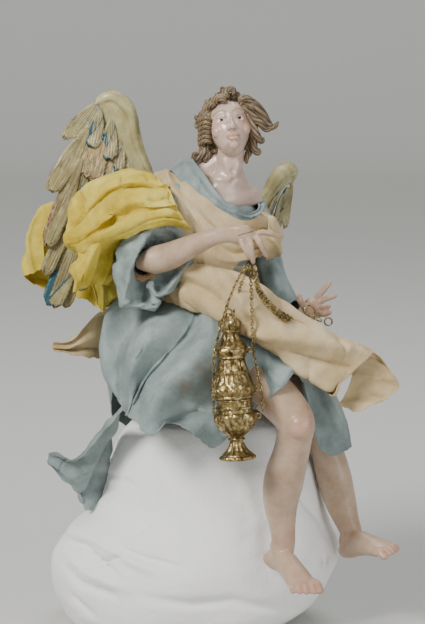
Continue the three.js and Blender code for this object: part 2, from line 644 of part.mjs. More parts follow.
// The mantle: gathered at the right shoulder, puffed over the upper arm, and blown out behind the wing
const MANTLE_NEAR = [
  [[-37, -20, 328], [-24, -44, 319], [-18, -56, 308.5], [-13.5, -58, 296]],
  [[-46, -8, 331.5], [-38, -42, 323], [-32.5, -60, 312.5], [-27, -60, 302.5]],
  [[-63.5, 0, 333], [-60.5, -40, 326], [-57, -66, 314.5], [-54.5, -64, 300]],
  [[-77.5, 4, 329], [-79.5, -26, 320], [-78, -60, 307], [-74, -66, 286.5]],
  [[-89, 2, 322], [-95.5, -18, 309.5], [-97, -46, 292.5], [-88.5, -54, 269.5]],
  [[-99.5, 4, 311.5], [-106, -8, 298.5], [-106.5, -30, 283.5], [-99, -36, 257.5]],
  [[-93, 16, 306], [-95.5, 10, 292], [-96.5, -6, 275], [-95.5, -22, 249]],
  [[-81.5, 16, 300], [-82.5, 14, 284.5], [-85.5, 4, 267], [-85, -8, 249.5]],
];
const MANTLE_FOLDS = [
  [[0.0, 0.3], [0.72, 0.22], 6, 0.1],
  [[0.05, 0.45], [0.7, 0.42], -6, 0.09],
  [[0.1, 0.62], [0.75, 0.62], 7, 0.1],
  [[0.3, 0.8], [0.8, 0.8], -6, 0.08],
  [[0.4, 0.95], [0.8, 0.95], 4, 0.09],
];
const MANTLE_FAR = [
  [[-73, 26, 264], [-76, 28, 243.5], [-81, 30, 227]],
  [[-94.5, 50, 271.5], [-98, 56, 250], [-96.5, 50, 236]],
  [[-117, 62, 289.5], [-121, 74, 261], [-119, 60, 239]],
  [[-130.5, 60, 289.5], [-140, 66, 265], [-135, 58, 247.5]],
  [[-126.5, 50, 298], [-138, 48, 270.5], [-136, 48, 252.5]],
  [[-117, 46, 306.5], [-126.5, 44, 281], [-123.5, 44, 257.5]],
];

function mantle(cutters) {
  const link = tube([[-82.5, 4, 267], [-78.5, 14, 259.5], [-74.5, 28, 249]], 9, 9, { sides: 8, steps: 3 });
  const cloth = join([
    sheet(clothGrid(MANTLE_NEAR, 16, 11, { folds: MANTLE_FOLDS }), 3),
    sheet(clothGrid(MANTLE_FAR, 9, 5, { folds: [[[0.3, 0.5], [0.9, 0.6], 4, 0.2]] }), 2.6),
    link,
  ]);
  return cutBy(cloth, cutters, SLACK.cloth, LOOSE);
}

// Wings: a thin blade behind rows of feathers, and the wing's arm along its top. Each row has the line
// that its tips lie on.
const WING_ARM = [
  [-41, 26, 321], [-51, 32, 341.5], [-57, 36, 361.5],
  [-63.5, 38, 379], [-75, 38, 383.5], [-85, 35, 377.5],
];
const ARM_RADIUS = [4.5, 4.5, 5, 6, 5, 3.2];
const BLADE = [
  [[-44, 30, 326.5], [-52.5, 29, 294.5], [-67.5, 27, 271.5]],
  [[-51, 34, 348], [-71.5, 31, 294.5], [-85, 27, 259.5]],
  [[-55.5, 38, 368], [-83.5, 32, 301.5], [-99.5, 26, 252.5]],
  [[-64.5, 40, 382.5], [-95, 31, 309], [-111, 23, 244]],
  [[-76, 40, 385.5], [-104, 29, 319.5], [-117.5, 21, 242.5]],
  [[-87.5, 36, 380], [-112, 26, 324], [-119.5, 20, 259]],
];
const FEATHER_ROWS = [
  {
    tips: [[-67, 24, 264.5], [-83.5, 25, 254], [-96.5, 24, 245.5], [-108, 21, 234.5], [-119, 19, 233.5]],
    reach: 66,
    width: 6,
  },
  {
    tips: [[-65.5, 26, 286], [-80.5, 26, 274.5], [-96.5, 25, 268.5], [-109.5, 22, 264.5], [-121, 19, 259]],
    reach: 56,
    width: 5.8,
  },
  {
    tips: [[-63, 28, 307.5], [-77.5, 28, 297.5], [-92, 26, 293.5], [-106.5, 23, 285], [-120.5, 20, 276.5]],
    reach: 46,
    width: 5.6,
  },
  {
    tips: [[-60, 31, 331], [-73, 31, 325], [-88, 30, 323.5], [-102, 27, 316.5], [-117.5, 24, 312.5]],
    reach: 44,
    width: 5.4,
  },
  {
    tips: [[-60, 35, 352.5], [-70, 35, 348], [-81.5, 35, 353.5], [-94.5, 32, 348], [-108, 28, 353.5]],
    reach: 34,
    width: 5,
  },
];
const FEATHER_STEP = -1.6; // the feathers stand this far proud of the blade
const FEATHERS_IN_ROW = 5;

// One feather: a flat vane with a rounded tip, facing -Y.
function feather(root, tip, half, thick) {
  const axis = minus(tip, root);
  const across = unit(cross(axis, [0, 1, 0]));
  const ring = (t, w, d) => {
    const c = plus(root, axis, t);
    return [plus(c, across, w), plus(c, [0, -1, 0], d), plus(c, across, -w), plus(c, [0, 1, 0], d)];
  };
  return loft([ring(0, half * 0.7, thick), ring(0.8, half, thick), ring(1, half * 0.4, thick * 0.6)]);
}

function rightWing() {
  const arm = WING_ARM.map((p, i) => [...p, ARM_RADIUS[i], ARM_RADIUS[i] * 0.75]);
  const feathers = FEATHER_ROWS.flatMap(({ tips, reach, width }) =>
    count(FEATHERS_IN_ROW, (i) => {
      const t = i / (FEATHERS_IN_ROW - 1);
      const tip = plus(through(tips, t), [0, FEATHER_STEP, 0]);
      const back = minus(through(WING_ARM, 0.15 + 0.8 * t), tip);
      const root = plus(tip, unit(back), Math.min(reach, Math.hypot(...back)));
      return feather(root, tip, width * (1.25 - 0.25 * t), 1.5);
    }),
  );
  const blade = sheet(clothGrid(BLADE, 6, 4), 3.4);
  return join([limb(arm, { side: [0, 0, 1], sides: 7, steps: 8 }), blade, ...feathers]);
}

// The left wing is the right one mirrored, tipped outwards, leaned back and turned about its root.
const WING_ROOTS = { right: [-41.5, 28, 321], left: [23.5, 45, 292] };
const LEFT_WING_TURN = { tip: 37, lean: 27, yaw: 60 }; // degrees

function leftWing(right) {
  const rad = THREE.MathUtils.degToRad;
  const place = new THREE.Matrix4()
    .makeTranslation(...WING_ROOTS.left)
    .multiply(new THREE.Matrix4().makeRotationZ(rad(LEFT_WING_TURN.yaw)))
    .multiply(new THREE.Matrix4().makeRotationX(rad(LEFT_WING_TURN.lean)))
    .multiply(new THREE.Matrix4().makeRotationY(rad(LEFT_WING_TURN.tip)))
    .multiply(new THREE.Matrix4().makeScale(-1, 1, 1))
    .multiply(new THREE.Matrix4().makeTranslation(...WING_ROOTS.right.map((v) => -v)));
  return right.transform(place.elements);
}

// The censer: turned profiles of [radius, height above its foot's rim], hung a little off upright
const CENSER_FOOT = [17.5, -96, 142];
const CENSER_LEAN = { x: -3, y: -3.5 }; // degrees
const BOWL_OUTSIDE = [
  [0, 0], [12, 0], [12.4, 2.2], [9.6, 4.2], [6.2, 8], [4.6, 13], [5.2, 16], [8.4, 18.5], [13, 24],
  [15, 29], [14.4, 32.6], [12.4, 34.6], [12, 42],
];
const BOWL_INSIDE = [[10.8, 42], [10.8, 33], [12, 28], [7, 20.5], [0, 18.5]];
const LID_OUTSIDE = [
  [12.6, 0], [13.6, 2.2], [15, 6], [14.2, 10.5], [11, 17], [9, 24], [8.8, 28], [9.8, 30], [11.4, 33],
  [10.6, 36], [6.4, 41.5], [5, 46], [5.8, 48], [7.4, 51], [6.4, 55], [2.6, 57.5], [0, 58],
];
const LID_INSIDE = [[0, 38], [6, 35], [7.7, 24], [12.6, 9.5], [11.6, 0]];
const LID_LIFT = 42.4;

function censerMatrix() {
  const rad = THREE.MathUtils.degToRad;
  return new THREE.Matrix4()
    .makeTranslation(...CENSER_FOOT)
    .multiply(new THREE.Matrix4().makeRotationX(rad(CENSER_LEAN.x)))
    .multiply(new THREE.Matrix4().makeRotationY(rad(CENSER_LEAN.y)));
}

function turned(profile) {
  const points = profile.map(([r, z]) => new THREE.Vector2(r, z));
  return fromGeometry(new THREE.LatheGeometry(points, 12).rotateX(Math.PI / 2));
}

const lug = (r, z, turn, reach) => {
  const a = THREE.MathUtils.degToRad(turn);
  const ring = new THREE.TorusGeometry(1.7, 0.55, 3, 6).rotateX(reach > 0 ? 0 : Math.PI / 2);
  return fromGeometry(ring.translate(r + 1.2, 0, z).rotateZ(a));
};
const CHAIN_TURNS = [-8, 222, 100]; // where the three chains run down the censer, in degrees round it

function censerBowl() {
  const lugs = CHAIN_TURNS.map((turn) => lug(15, 29.5, turn, 0));
  const bowl = join([turned([...BOWL_OUTSIDE, ...BOWL_INSIDE]), ...lugs], SLACK.metal);
  return bowl.transform(censerMatrix().elements);
}

function censerLid() {
  const guides = CHAIN_TURNS.flatMap((turn) => [lug(14.2, 6, turn, 0), lug(11, 33, turn, 0)]);
  const top = fromGeometry(new THREE.TorusGeometry(2, 0.6, 3, 8).rotateX(Math.PI / 2).translate(0, 0, 59.5));
  const lid = join([turned([...LID_INSIDE, ...LID_OUTSIDE]), top, ...guides], SLACK.metal);
  return lid.translate(0, 0, LID_LIFT).transform(censerMatrix().elements);
}

// A chain as one twisted strand: each link turns a quarter against the last.
function chain(points, wire = LINK_WIDTH) {
  const at = (t) => through(points, t);
  let length = 0;
  for (let i = 0; i < 40; i++) length += Math.hypot(...minus(at((i + 1) / 40), at(i / 40)));
  const links = Math.round(length / LINK_PITCH);
  const rings = count(links + 1, (i) => {
    const t = i / links;
    const along = unit(minus(at(t + 0.01), at(t - 0.01)));
    const u = unit(cross(along, [0, 1, 0.2]));
    const w = cross(along, u);
    const [a, b] = i % 2 ? [wire / 2, wire / 5] : [wire / 5, wire / 2];
    const c = at(t);
    return [plus(c, u, a), plus(c, w, b), plus(c, u, -a), plus(c, w, -b)];
  });
  return loft(rings);
}
const censerPoint = (r, turn, z) => {
  const a = THREE.MathUtils.degToRad(turn);
  return new THREE.Vector3(r * Math.cos(a), r * Math.sin(a), z).applyMatrix4(censerMatrix()).toArray();
};
const HAND_HOLD = [25, -97, 276.5];

function censerChain(k) {
  const turn = CHAIN_TURNS[k];
  const start = plus(HAND_HOLD, [[0.6, -0.4, 0], [-3, -1, 0], [-0.6, 3, 0]][k]);
  return chain([start, mix(start, censerPoint(16, turn, 88), 0.5), censerPoint(15.4, turn, 76),
    censerPoint(19, turn, 48), censerPoint(19.8, turn, 33)]);
}

// The spare chain runs from the right hand over the sash to the rings in the left hand.
const SPARE_CHAIN = [[28.5, -96, 275], [31, -98, 260], [38, -97, 249], [46.5, -92, 242], [55.5, -84, 236]];
const RINGS = [
  { name: "carry_ring", at: [68.5, -40, 237.5], radius: 3.9, turn: [70, 0, 20] },
  { name: "end_ring_1", at: [74.5, -45, 232.5], radius: 2.7, turn: [20, 30, 0] },
  { name: "end_ring_2", at: [81.5, -45, 230.5], radius: 2.7, turn: [80, 20, 0] },
];

function ring({ at, radius, turn }) {
  const [x, y, z] = turn.map(THREE.MathUtils.degToRad);
  const made = new THREE.TorusGeometry(radius, 0.65, 4, 10).rotateX(x).rotateY(y).rotateZ(z);
  return fromGeometry(made.translate(...at));
}

// Finishes
const finish = (color, roughness, metalness = 0) =>
  new THREE.MeshStandardMaterial({ color, roughness, metalness });
const WHITE_COTTON = finish("#e9e9e4", 0.9);
const BLUE_SILK = finish("#8fa3a3", 0.85);
const CREAM_SILK = finish("#d3c09a", 0.8);
const YELLOW_SILK = finish("#d9c25a", 0.8);
const FLESH = finish("#cba790", 0.45);
const CLAY_FLESH = finish("#d8b6a6", 0.35);
const GILT_WOOD = finish("#c9bd90", 0.5);
const GILT_METAL = finish("#a8843f", 0.35, 1);
const TOW = finish("#b08f66", 0.95);

const angel = new THREE.Group();
function place(name, solid, material) {
  const geometry = geometryOf(solid);
  geometry.computeVertexNormals();
  const piece = new THREE.Mesh(geometry, material);
  piece.name = name;
  angel.add(piece);
}
const gown = await thinned(tunic(), 0.55);
const rightLeg = cutBy(await thinned(leg(RIGHT_LEG, RIGHT_FOOT), 0.7), [gown]);
const leftLeg = cutBy(await thinned(leg(LEFT_LEG, LEFT_FOOT), 0.75), [gown]);
const base = cutBy(await thinned(mound(), 0.8), [gown, rightLeg, leftLeg], SLACK.cloth);
const rightArm = cutBy(arm(RIGHT_ARM, RIGHT_FINGERS, [0.5, 0.2, -0.8]), [gown]);
const leftArm = cutBy(arm(LEFT_ARM, LEFT_FINGERS, [-0.6, 0.2, 0.7]), [gown]);
const tow = cutBy(elbowTow(), [gown, rightArm], SLACK.metal, CLEAR * 2);
const bust = cutBy(await thinned(headAndShoulders(), 0.44), [gown]);
const wing = await thinned(rightWing(), 0.6);
const wingRight = cutBy(wing, [gown]);
const wingLeft = cutBy(leftWing(wing), [gown]);
const underSash = [gown, bust, rightArm, leftArm, rightLeg, leftLeg, wingRight, wingLeft];
const wrap = await thinned(sash(underSash), 0.36, underSash);
const underMantle = [gown, wrap, bust, rightArm, wingRight];
const cape = await thinned(mantle(underMantle), 0.68, underMantle);
const bowl = cutBy(censerBowl(), [gown], SLACK.metal);
const lid = cutBy(await thinned(censerLid(), 0.8), [bowl, gown], SLACK.metal);

place("display_mound", base, WHITE_COTTON);
place("right_leg", rightLeg, FLESH);
place("left_leg", leftLeg, FLESH);
place("right_arm", rightArm, FLESH);
place("left_arm", leftArm, FLESH);
place("elbow_tow", tow, TOW);
place("head_and_shoulders", bust, CLAY_FLESH);
place("tunic", gown, BLUE_SILK);
place("sash", wrap, CREAM_SILK);
place("mantle", cape, YELLOW_SILK);
place("right_wing", wingRight, GILT_WOOD);
place("left_wing", wingLeft, GILT_WOOD);
place("censer_bowl", bowl, GILT_METAL);
place("censer_lid", lid, GILT_METAL);
const hardware = [bowl, lid, rightArm, leftArm, wrap, gown];
["chain_side", "chain_front", "chain_back"].forEach((name, k) =>
  place(name, cutBy(censerChain(k), hardware, SLACK.metal), GILT_METAL),
);
place("spare_chain", cutBy(chain(SPARE_CHAIN, 2.8), hardware, SLACK.metal), GILT_METAL);
RINGS.forEach((plan) => place(plan.name, cutBy(ring(plan), [leftArm, wrap], SLACK.metal), GILT_METAL));

export default angel;
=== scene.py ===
"""A dressed crib angel on the cloth-covered mound that it is shown on, with a censer hanging from its hand.

The head and shoulders are modelled clay, the limbs and wings carved and painted wood, the clothes stiffened
silk and the censer gilt metal. Lists of points are in millimetres, in the frame's axes.
"""

import math

import bmesh
import bpy
import numpy as np
from mathutils import Matrix, Vector, noise


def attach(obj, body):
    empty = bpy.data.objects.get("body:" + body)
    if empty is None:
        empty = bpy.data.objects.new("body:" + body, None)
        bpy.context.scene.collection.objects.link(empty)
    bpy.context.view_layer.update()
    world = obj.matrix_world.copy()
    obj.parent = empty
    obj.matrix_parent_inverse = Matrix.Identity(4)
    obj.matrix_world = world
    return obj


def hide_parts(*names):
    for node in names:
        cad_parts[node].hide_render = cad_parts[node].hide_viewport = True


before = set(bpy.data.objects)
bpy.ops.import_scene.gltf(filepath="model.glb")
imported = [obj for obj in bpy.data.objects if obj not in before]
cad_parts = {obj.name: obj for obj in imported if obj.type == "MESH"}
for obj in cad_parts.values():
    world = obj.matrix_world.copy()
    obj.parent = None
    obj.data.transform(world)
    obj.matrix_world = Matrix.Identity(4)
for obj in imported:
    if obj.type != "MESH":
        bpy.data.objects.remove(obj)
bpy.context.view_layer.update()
MM = 0.001

# Where the angel is seen from: a little above its lap, from far off with a long lens.
LOOKS_AT = Vector((0, 0, 0.231))
STANDS_OFF = 2
LOOKS_DOWN = math.radians(8)
eye = LOOKS_AT + STANDS_OFF * Vector((0, -math.cos(LOOKS_DOWN), math.sin(LOOKS_DOWN)))
camera = bpy.data.objects.new("camera", bpy.data.cameras.new("camera"))
camera.data.sensor_width = 36
camera.data.lens = 160.26
camera.location = eye
camera.rotation_euler = (LOOKS_AT - eye).to_track_quat("-Z", "Y").to_euler()
bpy.context.scene.collection.objects.link(camera)
bpy.context.scene.camera = camera


# Makes a smooth object of a bmesh, and frees the bmesh.
def new_object(name, bm, *materials):
    mesh = bpy.data.meshes.new(name)
    bm.to_mesh(mesh)
    bm.free()
    for face in mesh.polygons:
        face.use_smooth = True
    for material in materials:
        mesh.materials.append(material)
    made = bpy.data.objects.new(name, mesh)
    bpy.context.scene.collection.objects.link(made)
    return made


# A new material with its shader, and a function that adds a node and gives its inputs what they take.
def new_material(name):
    material = bpy.data.materials.new(name)
    material.use_nodes = True
    tree = material.node_tree
    return material, tree.nodes["Principled BSDF"], adder(tree)


# Gives inputs of a node a value or a link. An input's key is its name, or i and its number.
def feed(tree, node, inputs):
    for key, value in inputs.items():
        socket = node.inputs[int(key[1:])] if key[0] == "i" and key[1:].isdigit() else node.inputs[key]
        if isinstance(value, bpy.types.NodeSocket):
            tree.links.new(value, socket)
        else:
            socket.default_value = value


def adder(tree):
    def add(kind, settings=None, **inputs):
        node = tree.nodes.new(kind)
        for key, value in (settings or {}).items():
            setattr(node, key, value)
        feed(tree, node, inputs)
        return node

    return add


# A colour ramp from pairs of (place, colour or grey).
def add_ramp(add, factor, stops):
    ramp = add("ShaderNodeValToRGB", Fac=factor)
    marks = ramp.color_ramp.elements
    for k, (place, colour) in enumerate(stops):
        mark = marks[k] if k < 2 else marks.new(place)
        mark.position = place
        mark.color = (*colour, 1) if isinstance(colour, tuple) else (colour, colour, colour, 1)
    return ramp.outputs["Color"]


# The wall stands farther from the lamps than the floor does, so its paper is paler. Both are a little warm.
def paper_material():
    floor, wall, warm = 0.58, 0.88, 0.963
    material, shader, add = new_material("backdrop_paper")
    axes = add("ShaderNodeSeparateXYZ", Vector=add("ShaderNodeTexCoord").outputs["Object"])
    far_off = add("ShaderNodeMapRange", Value=axes.outputs["Y"], i1=0.3, i2=3.6).outputs["Result"]
    tone = add_ramp(add, far_off, [(k, (grey, grey, warm * grey)) for k, grey in enumerate((floor, wall))])
    feed(material.node_tree, shader, {"Base Color": tone, "Roughness": 0.95, "Specular IOR Level": 0.1})
    return material


# The floor and the wall behind it: one sheet of pale grey paper with a wide bend between them.
def add_backdrop():
    behind, bend, height, half, turns = 4.5, 0.9, 6, 10, 40
    bm = bmesh.new()
    edge = [bm.verts.new((-half, y, 0)) for y in (-half, behind - bend)]
    for step in range(1, turns + 1):
        a = math.pi / 2 * step / turns
        edge.append(bm.verts.new((-half, behind - bend + bend * math.sin(a), bend - bend * math.cos(a))))
    edge.append(bm.verts.new((-half, behind, height)))
    lines = [bm.edges.new(pair) for pair in zip(edge, edge[1:])]
    pulled = bmesh.ops.extrude_edge_only(bm, edges=lines)["geom"]
    far = [v for v in pulled if isinstance(v, bmesh.types.BMVert)]
    bmesh.ops.translate(bm, verts=far, vec=(2 * half, 0, 0))
    bmesh.ops.recalc_face_normals(bm, faces=bm.faces)
    backdrop = new_object("backdrop", bm, paper_material())


add_backdrop()


# Soft studio light: one wide lamp high on the left, a weaker one low on the right, and a pale room.
def add_lamp(name, place, size, watts, colour):
    lamp = bpy.data.objects.new(name, bpy.data.lights.new(name, "AREA"))
    lamp.data.shape = "DISK"
    lamp.data.size = size
    lamp.data.energy = watts
    lamp.data.color = colour
    lamp.location = place
    lamp.rotation_euler = (LOOKS_AT - Vector(place)).to_track_quat("-Z", "Y").to_euler()
    bpy.context.scene.collection.objects.link(lamp)


add_lamp("window_lamp", (-1.3, -1.5, 1.7), 0.9, 72, (1, 0.985, 0.95))
add_lamp("fill_lamp", (1.6, -1.6, 0.7), 1.4, 20, (0.98, 0.985, 1))
add_lamp("top_lamp", (0.3, 0.6, 1.9), 1.2, 16, (1, 1, 1))
room = bpy.data.worlds.new("room")
room.use_nodes = True
room.node_tree.nodes["Background"].inputs["Color"].default_value = (0.8, 0.81, 0.82, 1)
room.node_tree.nodes["Background"].inputs["Strength"].default_value = 0.38
bpy.context.scene.world = room

# Display mound.
# The angel sits on a stuffed mound with a piece of white cotton sheeting pulled over it and tucked under.
# It is loose, and the angel only rests on it.

# A smooth curve through rows of numbers, at the given shares of the way along it.
def spline(rows, shares, closed=False):
    rows = np.asarray(rows, float)
    count = len(rows)
    spans = count if closed else count - 1
    along = np.clip(shares, 0, 1) * spans
    first = np.minimum(along.astype(int), spans - 1)
    part = (along - first).reshape(-1, *[1] * (rows.ndim - 1))

    def pick(k):
        return rows[k % count] if closed else rows[np.clip(k, 0, count - 1)]

    a, b, c, d = (pick(first + k) for k in (-1, 0, 1, 2))
    return b + 0.5 * part * (c - a + part * (2 * a - 5 * b + 4 * c - d + part * (3 * b - a - 3 * c + d)))


# How far each point lies from a broken line, and how far along it the nearest place is, from 0 to 1.
def off_line(points, line):
    line = np.asarray(line, float)
    spans = np.linalg.norm(np.diff(line, axis=0), axis=1)
    reached = np.concatenate([[0], np.cumsum(spans)])
    away = np.full(points.shape[:-1], 1e9)
    share = np.zeros(points.shape[:-1])
    for k, span in enumerate(spans):
        step = line[k + 1] - line[k]
        t = np.clip(((points - line[k]) @ step) / span**2, 0, 1)
        gap = np.linalg.norm(points - line[k] - t[..., None] * step, axis=-1)
        nearer = gap < away
        away = np.where(nearer, gap, away)
        share = np.where(nearer, (reached[k] + t * span) / reached[-1], share)
    return away, share


# Folds, each as (line of points, height, half width). A soft one is rounded, and a sharp one comes to a
# crease. A minus height sinks in, and both kinds fade out towards their ends.
def soft(folds):
    return [(*fold, "soft") for fold in folds]


def sharp(folds):
    return [(*fold, "sharp") for fold in folds]


def fold_heights(points, folds):
    run_out, at_ends = 4, 0.25
    lift = np.zeros(points.shape[:-1])
    for line, height, width, how in folds:
        away, share = off_line(points, line)
        near = away / width
        fade = np.clip(run_out * np.minimum(share, 1 - share) + at_ends, 0, 1)
        shape = np.exp(-2.2 * near) if how == "sharp" else np.exp(-2 * near**2)
        lift += height * fade * shape
    return lift


# Slow random waves over an array of points, from -1 to 1.
def waves(points, size, seed=0):
    shift = Vector((seed * 7.3, seed * 3.1, -seed * 5.7))
    flat = [noise.noise(Vector(p) / size + shift) for p in points.reshape(-1, 3)]
    return np.array(flat).reshape(points.shape[:-1])


# Every piece rides on the one body and stands for the nodes that it is given. Its finish is given, but not
# used.
def finish_piece(piece, slot, *nodes):
    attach(piece, "root")
    if nodes:
        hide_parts(*nodes)


# One colour laid over another, as much as the factor says.
def add_mix(add, factor, first, second, how="MIX"):
    mixed = add("ShaderNodeMix", {"data_type": "RGBA", "blend_type": how}, i0=factor, i6=first, i7=second)
    return mixed.outputs[2]


# Noise, paint laid on a piece, and sums, as nodes that give back their one output.
def add_noise(add, where, scale, detail=2, **more):
    return add("ShaderNodeTexNoise", Vector=where, Scale=scale, Detail=detail, **more).outputs["Fac"]


def add_painted(add, name):
    return add("ShaderNodeAttribute", {"attribute_name": name}).outputs["Fac"]


def add_math(add, how, *values):
    return add("ShaderNodeMath", {"operation": how}, **{f"i{k}": v for k, v in enumerate(values)}).outputs[0]


# Roughness that follows a mask: the first where the mask is low, the second where it is high.
def add_gloss(add, mask, low, high):
    return add("ShaderNodeMapRange", Value=mask, i1=0.3, i2=0.7, i3=low, i4=high).outputs["Result"]


# A normal that is bent by a height, as much as strength says, over a distance in metres.
def add_bump(add, height, strength, distance, **more):
    return add("ShaderNodeBump", Strength=strength, Distance=distance, Height=height, **more).outputs["Normal"]


# Woven cloth, as a group: threads as fine bars both ways, slubs along them, and broad uneven shading.
def weave_group():
    tree = bpy.data.node_groups.new("woven_cloth", "ShaderNodeTree")
    face = tree.interface
    for name, default in (("Threads per metre", 2600), ("Blotch size", 0.03)):
        face.new_socket(name, in_out="INPUT", socket_type="NodeSocketFloat").default_value = default
    for name in ("Height", "Shade", "Blotch"):
        face.new_socket(name, in_out="OUTPUT", socket_type="NodeSocketFloat")
    add = adder(tree)
    given = add("NodeGroupInput")
    out = add("NodeGroupOutput")
    where = add("ShaderNodeTexCoord").outputs["UV"]
    place = add("ShaderNodeTexCoord").outputs["Object"]
    bars = []
    for way in ("X", "Y"):
        wave = add("ShaderNodeTexWave", {"bands_direction": way}, Vector=where, Scale=given.outputs[0],
                   Distortion=1.5, Detail=2)
        bars.append(wave.outputs["Fac"])
    threads = add_math(add, "MAXIMUM", bars[0], bars[1])
    slub = add_noise(add, where, 420, 3)
    height = add_math(add, "MULTIPLY_ADD", slub, 0.8, threads)
    size = add_math(add, "DIVIDE", 1, given.outputs[1])
    blotch = add_noise(add, place, size, 4, Roughness=0.6)
    shade = add_math(add, "MULTIPLY_ADD", slub, 0.5, 0.5)
    feed(tree, out, {"Height": height, "Shade": shade, "Blotch": blotch})
    return tree


WOVEN = weave_group()


# Cloth of one colour: darker in its blotches, paler where it is worn, dented all over, with a weak sheen.
# What is painted as soil darkens it.
def cloth_material(name, colour, deep, pale, sheen, rough=0.85, threads=2600, soil=(0.2, 0.17, 0.13)):
    material, shader, add = new_material(name)
    woven = add("ShaderNodeGroup", {"node_tree": WOVEN}, i0=threads)
    tones = add_ramp(add, woven.outputs["Blotch"], [(0.25, deep), (0.5, colour), (0.78, pale)])
    slubs = add_ramp(add, woven.outputs["Shade"], [(0.6, (0.86, 0.86, 0.85)), (0.85, (1, 1, 1))])
    tinted = add_mix(add, 0.8, tones, slubs, "MULTIPLY")
    dirt_and_shade = add_painted(add, "soil")
    soiled = add_mix(add, dirt_and_shade, tinted, (*soil, 1))
    fine = add_bump(add, woven.outputs["Height"], 0.22, 0.0002)
    place = add("ShaderNodeTexCoord").outputs["Object"]
    dents = add_noise(add, place, 210, 5, Roughness=0.62, Distortion=0.6)
    feed(material.node_tree, shader, {
        "Base Color": soiled, "Normal": add_bump(add, dents, 0.45, 0.0014, Normal=fine), "Roughness": rough,
        "Specular IOR Level": 0.16, "Sheen Weight": sheen, "Sheen Roughness": 0.4})
    return material


# Paints a piece point by point, under a name that its material reads.
def paint(piece, name, amounts):
    painted = piece.data.attributes.new(name, "FLOAT", "POINT")
    painted.data.foreach_set("value", np.asarray(amounts, np.float32))


# How near points lie to a place: 1 there, and falling off over the given size.
def near(points, centre, size):
    return np.exp(-np.sum(((points - np.asarray(centre)) / size) ** 2, axis=1))


# The mound's outline at each level: height, then how far it reaches left, right, front and back.
MOUND_LEVELS = [
    (0, -103, 52, -44, 80), (3, -108, 60, -49, 85), (12, -113, 74, -54, 90), (24, -118, 82, -56, 94),
    (45, -120, 90, -57, 96), (60, -114, 91, -54, 94), (74, -102, 86, -50, 88), (84, -84, 83, -46, 82),
    (98, -77, 81, -42, 78), (119, -73, 77, -38, 74), (139, -66, 66, -32, 66), (150, -57, 56, -26, 58),
    (157, -40, 40, -12, 44),
]
# Creases seen on the front as lines of (across, up).
MOUND_CREASES = sharp([
    ([(-114, 65), (-93, 63), (-77, 52), (-64, 41)], -5.3, 3.6),
    ([(-78, 68), (-69, 66), (-47, 60), (-22, 56)], -4.2, 3.2),
    ([(-60, 63), (-77, 56), (-98, 48)], -4.2, 3.6), ([(-44, 84), (-60, 73), (-73, 67)], -3.4, 3),
    ([(-110, 48), (-98, 39), (-69, 32)], -4.6, 3.6), ([(-104, 29), (-86, 15)], -3.8, 4),
    ([(-76, 109), (-67, 110), (-54, 106)], -3.4, 2.6), ([(-71, 104), (-76, 98)], -2.7, 2.4),
    ([(-67, 147), (-57, 144), (-47, 144)], -2.7, 2.6), ([(61, 104), (77, 82), (86, 61)], -4.2, 4),
]) + soft([
    ([(-47, 33), (-15, 29), (15, 31), (61, 18)], -3.4, 5),
    ([(-108, 71), (-86, 70), (-60, 59), (-37, 51)], 3.4, 5), ([(-108, 56), (-87, 46), (-59, 38)], 3.1, 5),
    ([(-104, 83), (-87, 86), (-66, 95)], 3.4, 6), ([(-44, 138), (-29, 104), (-23, 71)], 1.3, 7),
    ([(17, 125), (32, 89), (31, 60)], 1.7, 8),
])


# A small rust stain low on the right: (across, up), and how far it reaches.
STAIN_AT, STAIN_SIZE = (82, 50), (4, 5)


# Adds a round sphere to a bmesh. Gives its points, and for each one the turn about the axis and the share
# of the way up from the lower pole.
def add_sphere(bm, around, rings):
    made = bmesh.ops.create_uvsphere(bm, u_segments=around, v_segments=rings, radius=1)["verts"]
    x, y, z = np.array([v.co for v in made]).T
    return made, np.arctan2(y, x), np.arccos(np.clip(-z, -1, 1)) / math.pi


# Moves a bmesh's points to places in millimetres.
def move_verts(verts, points):
    for v, p in zip(verts, points):
        v.co = p * MM


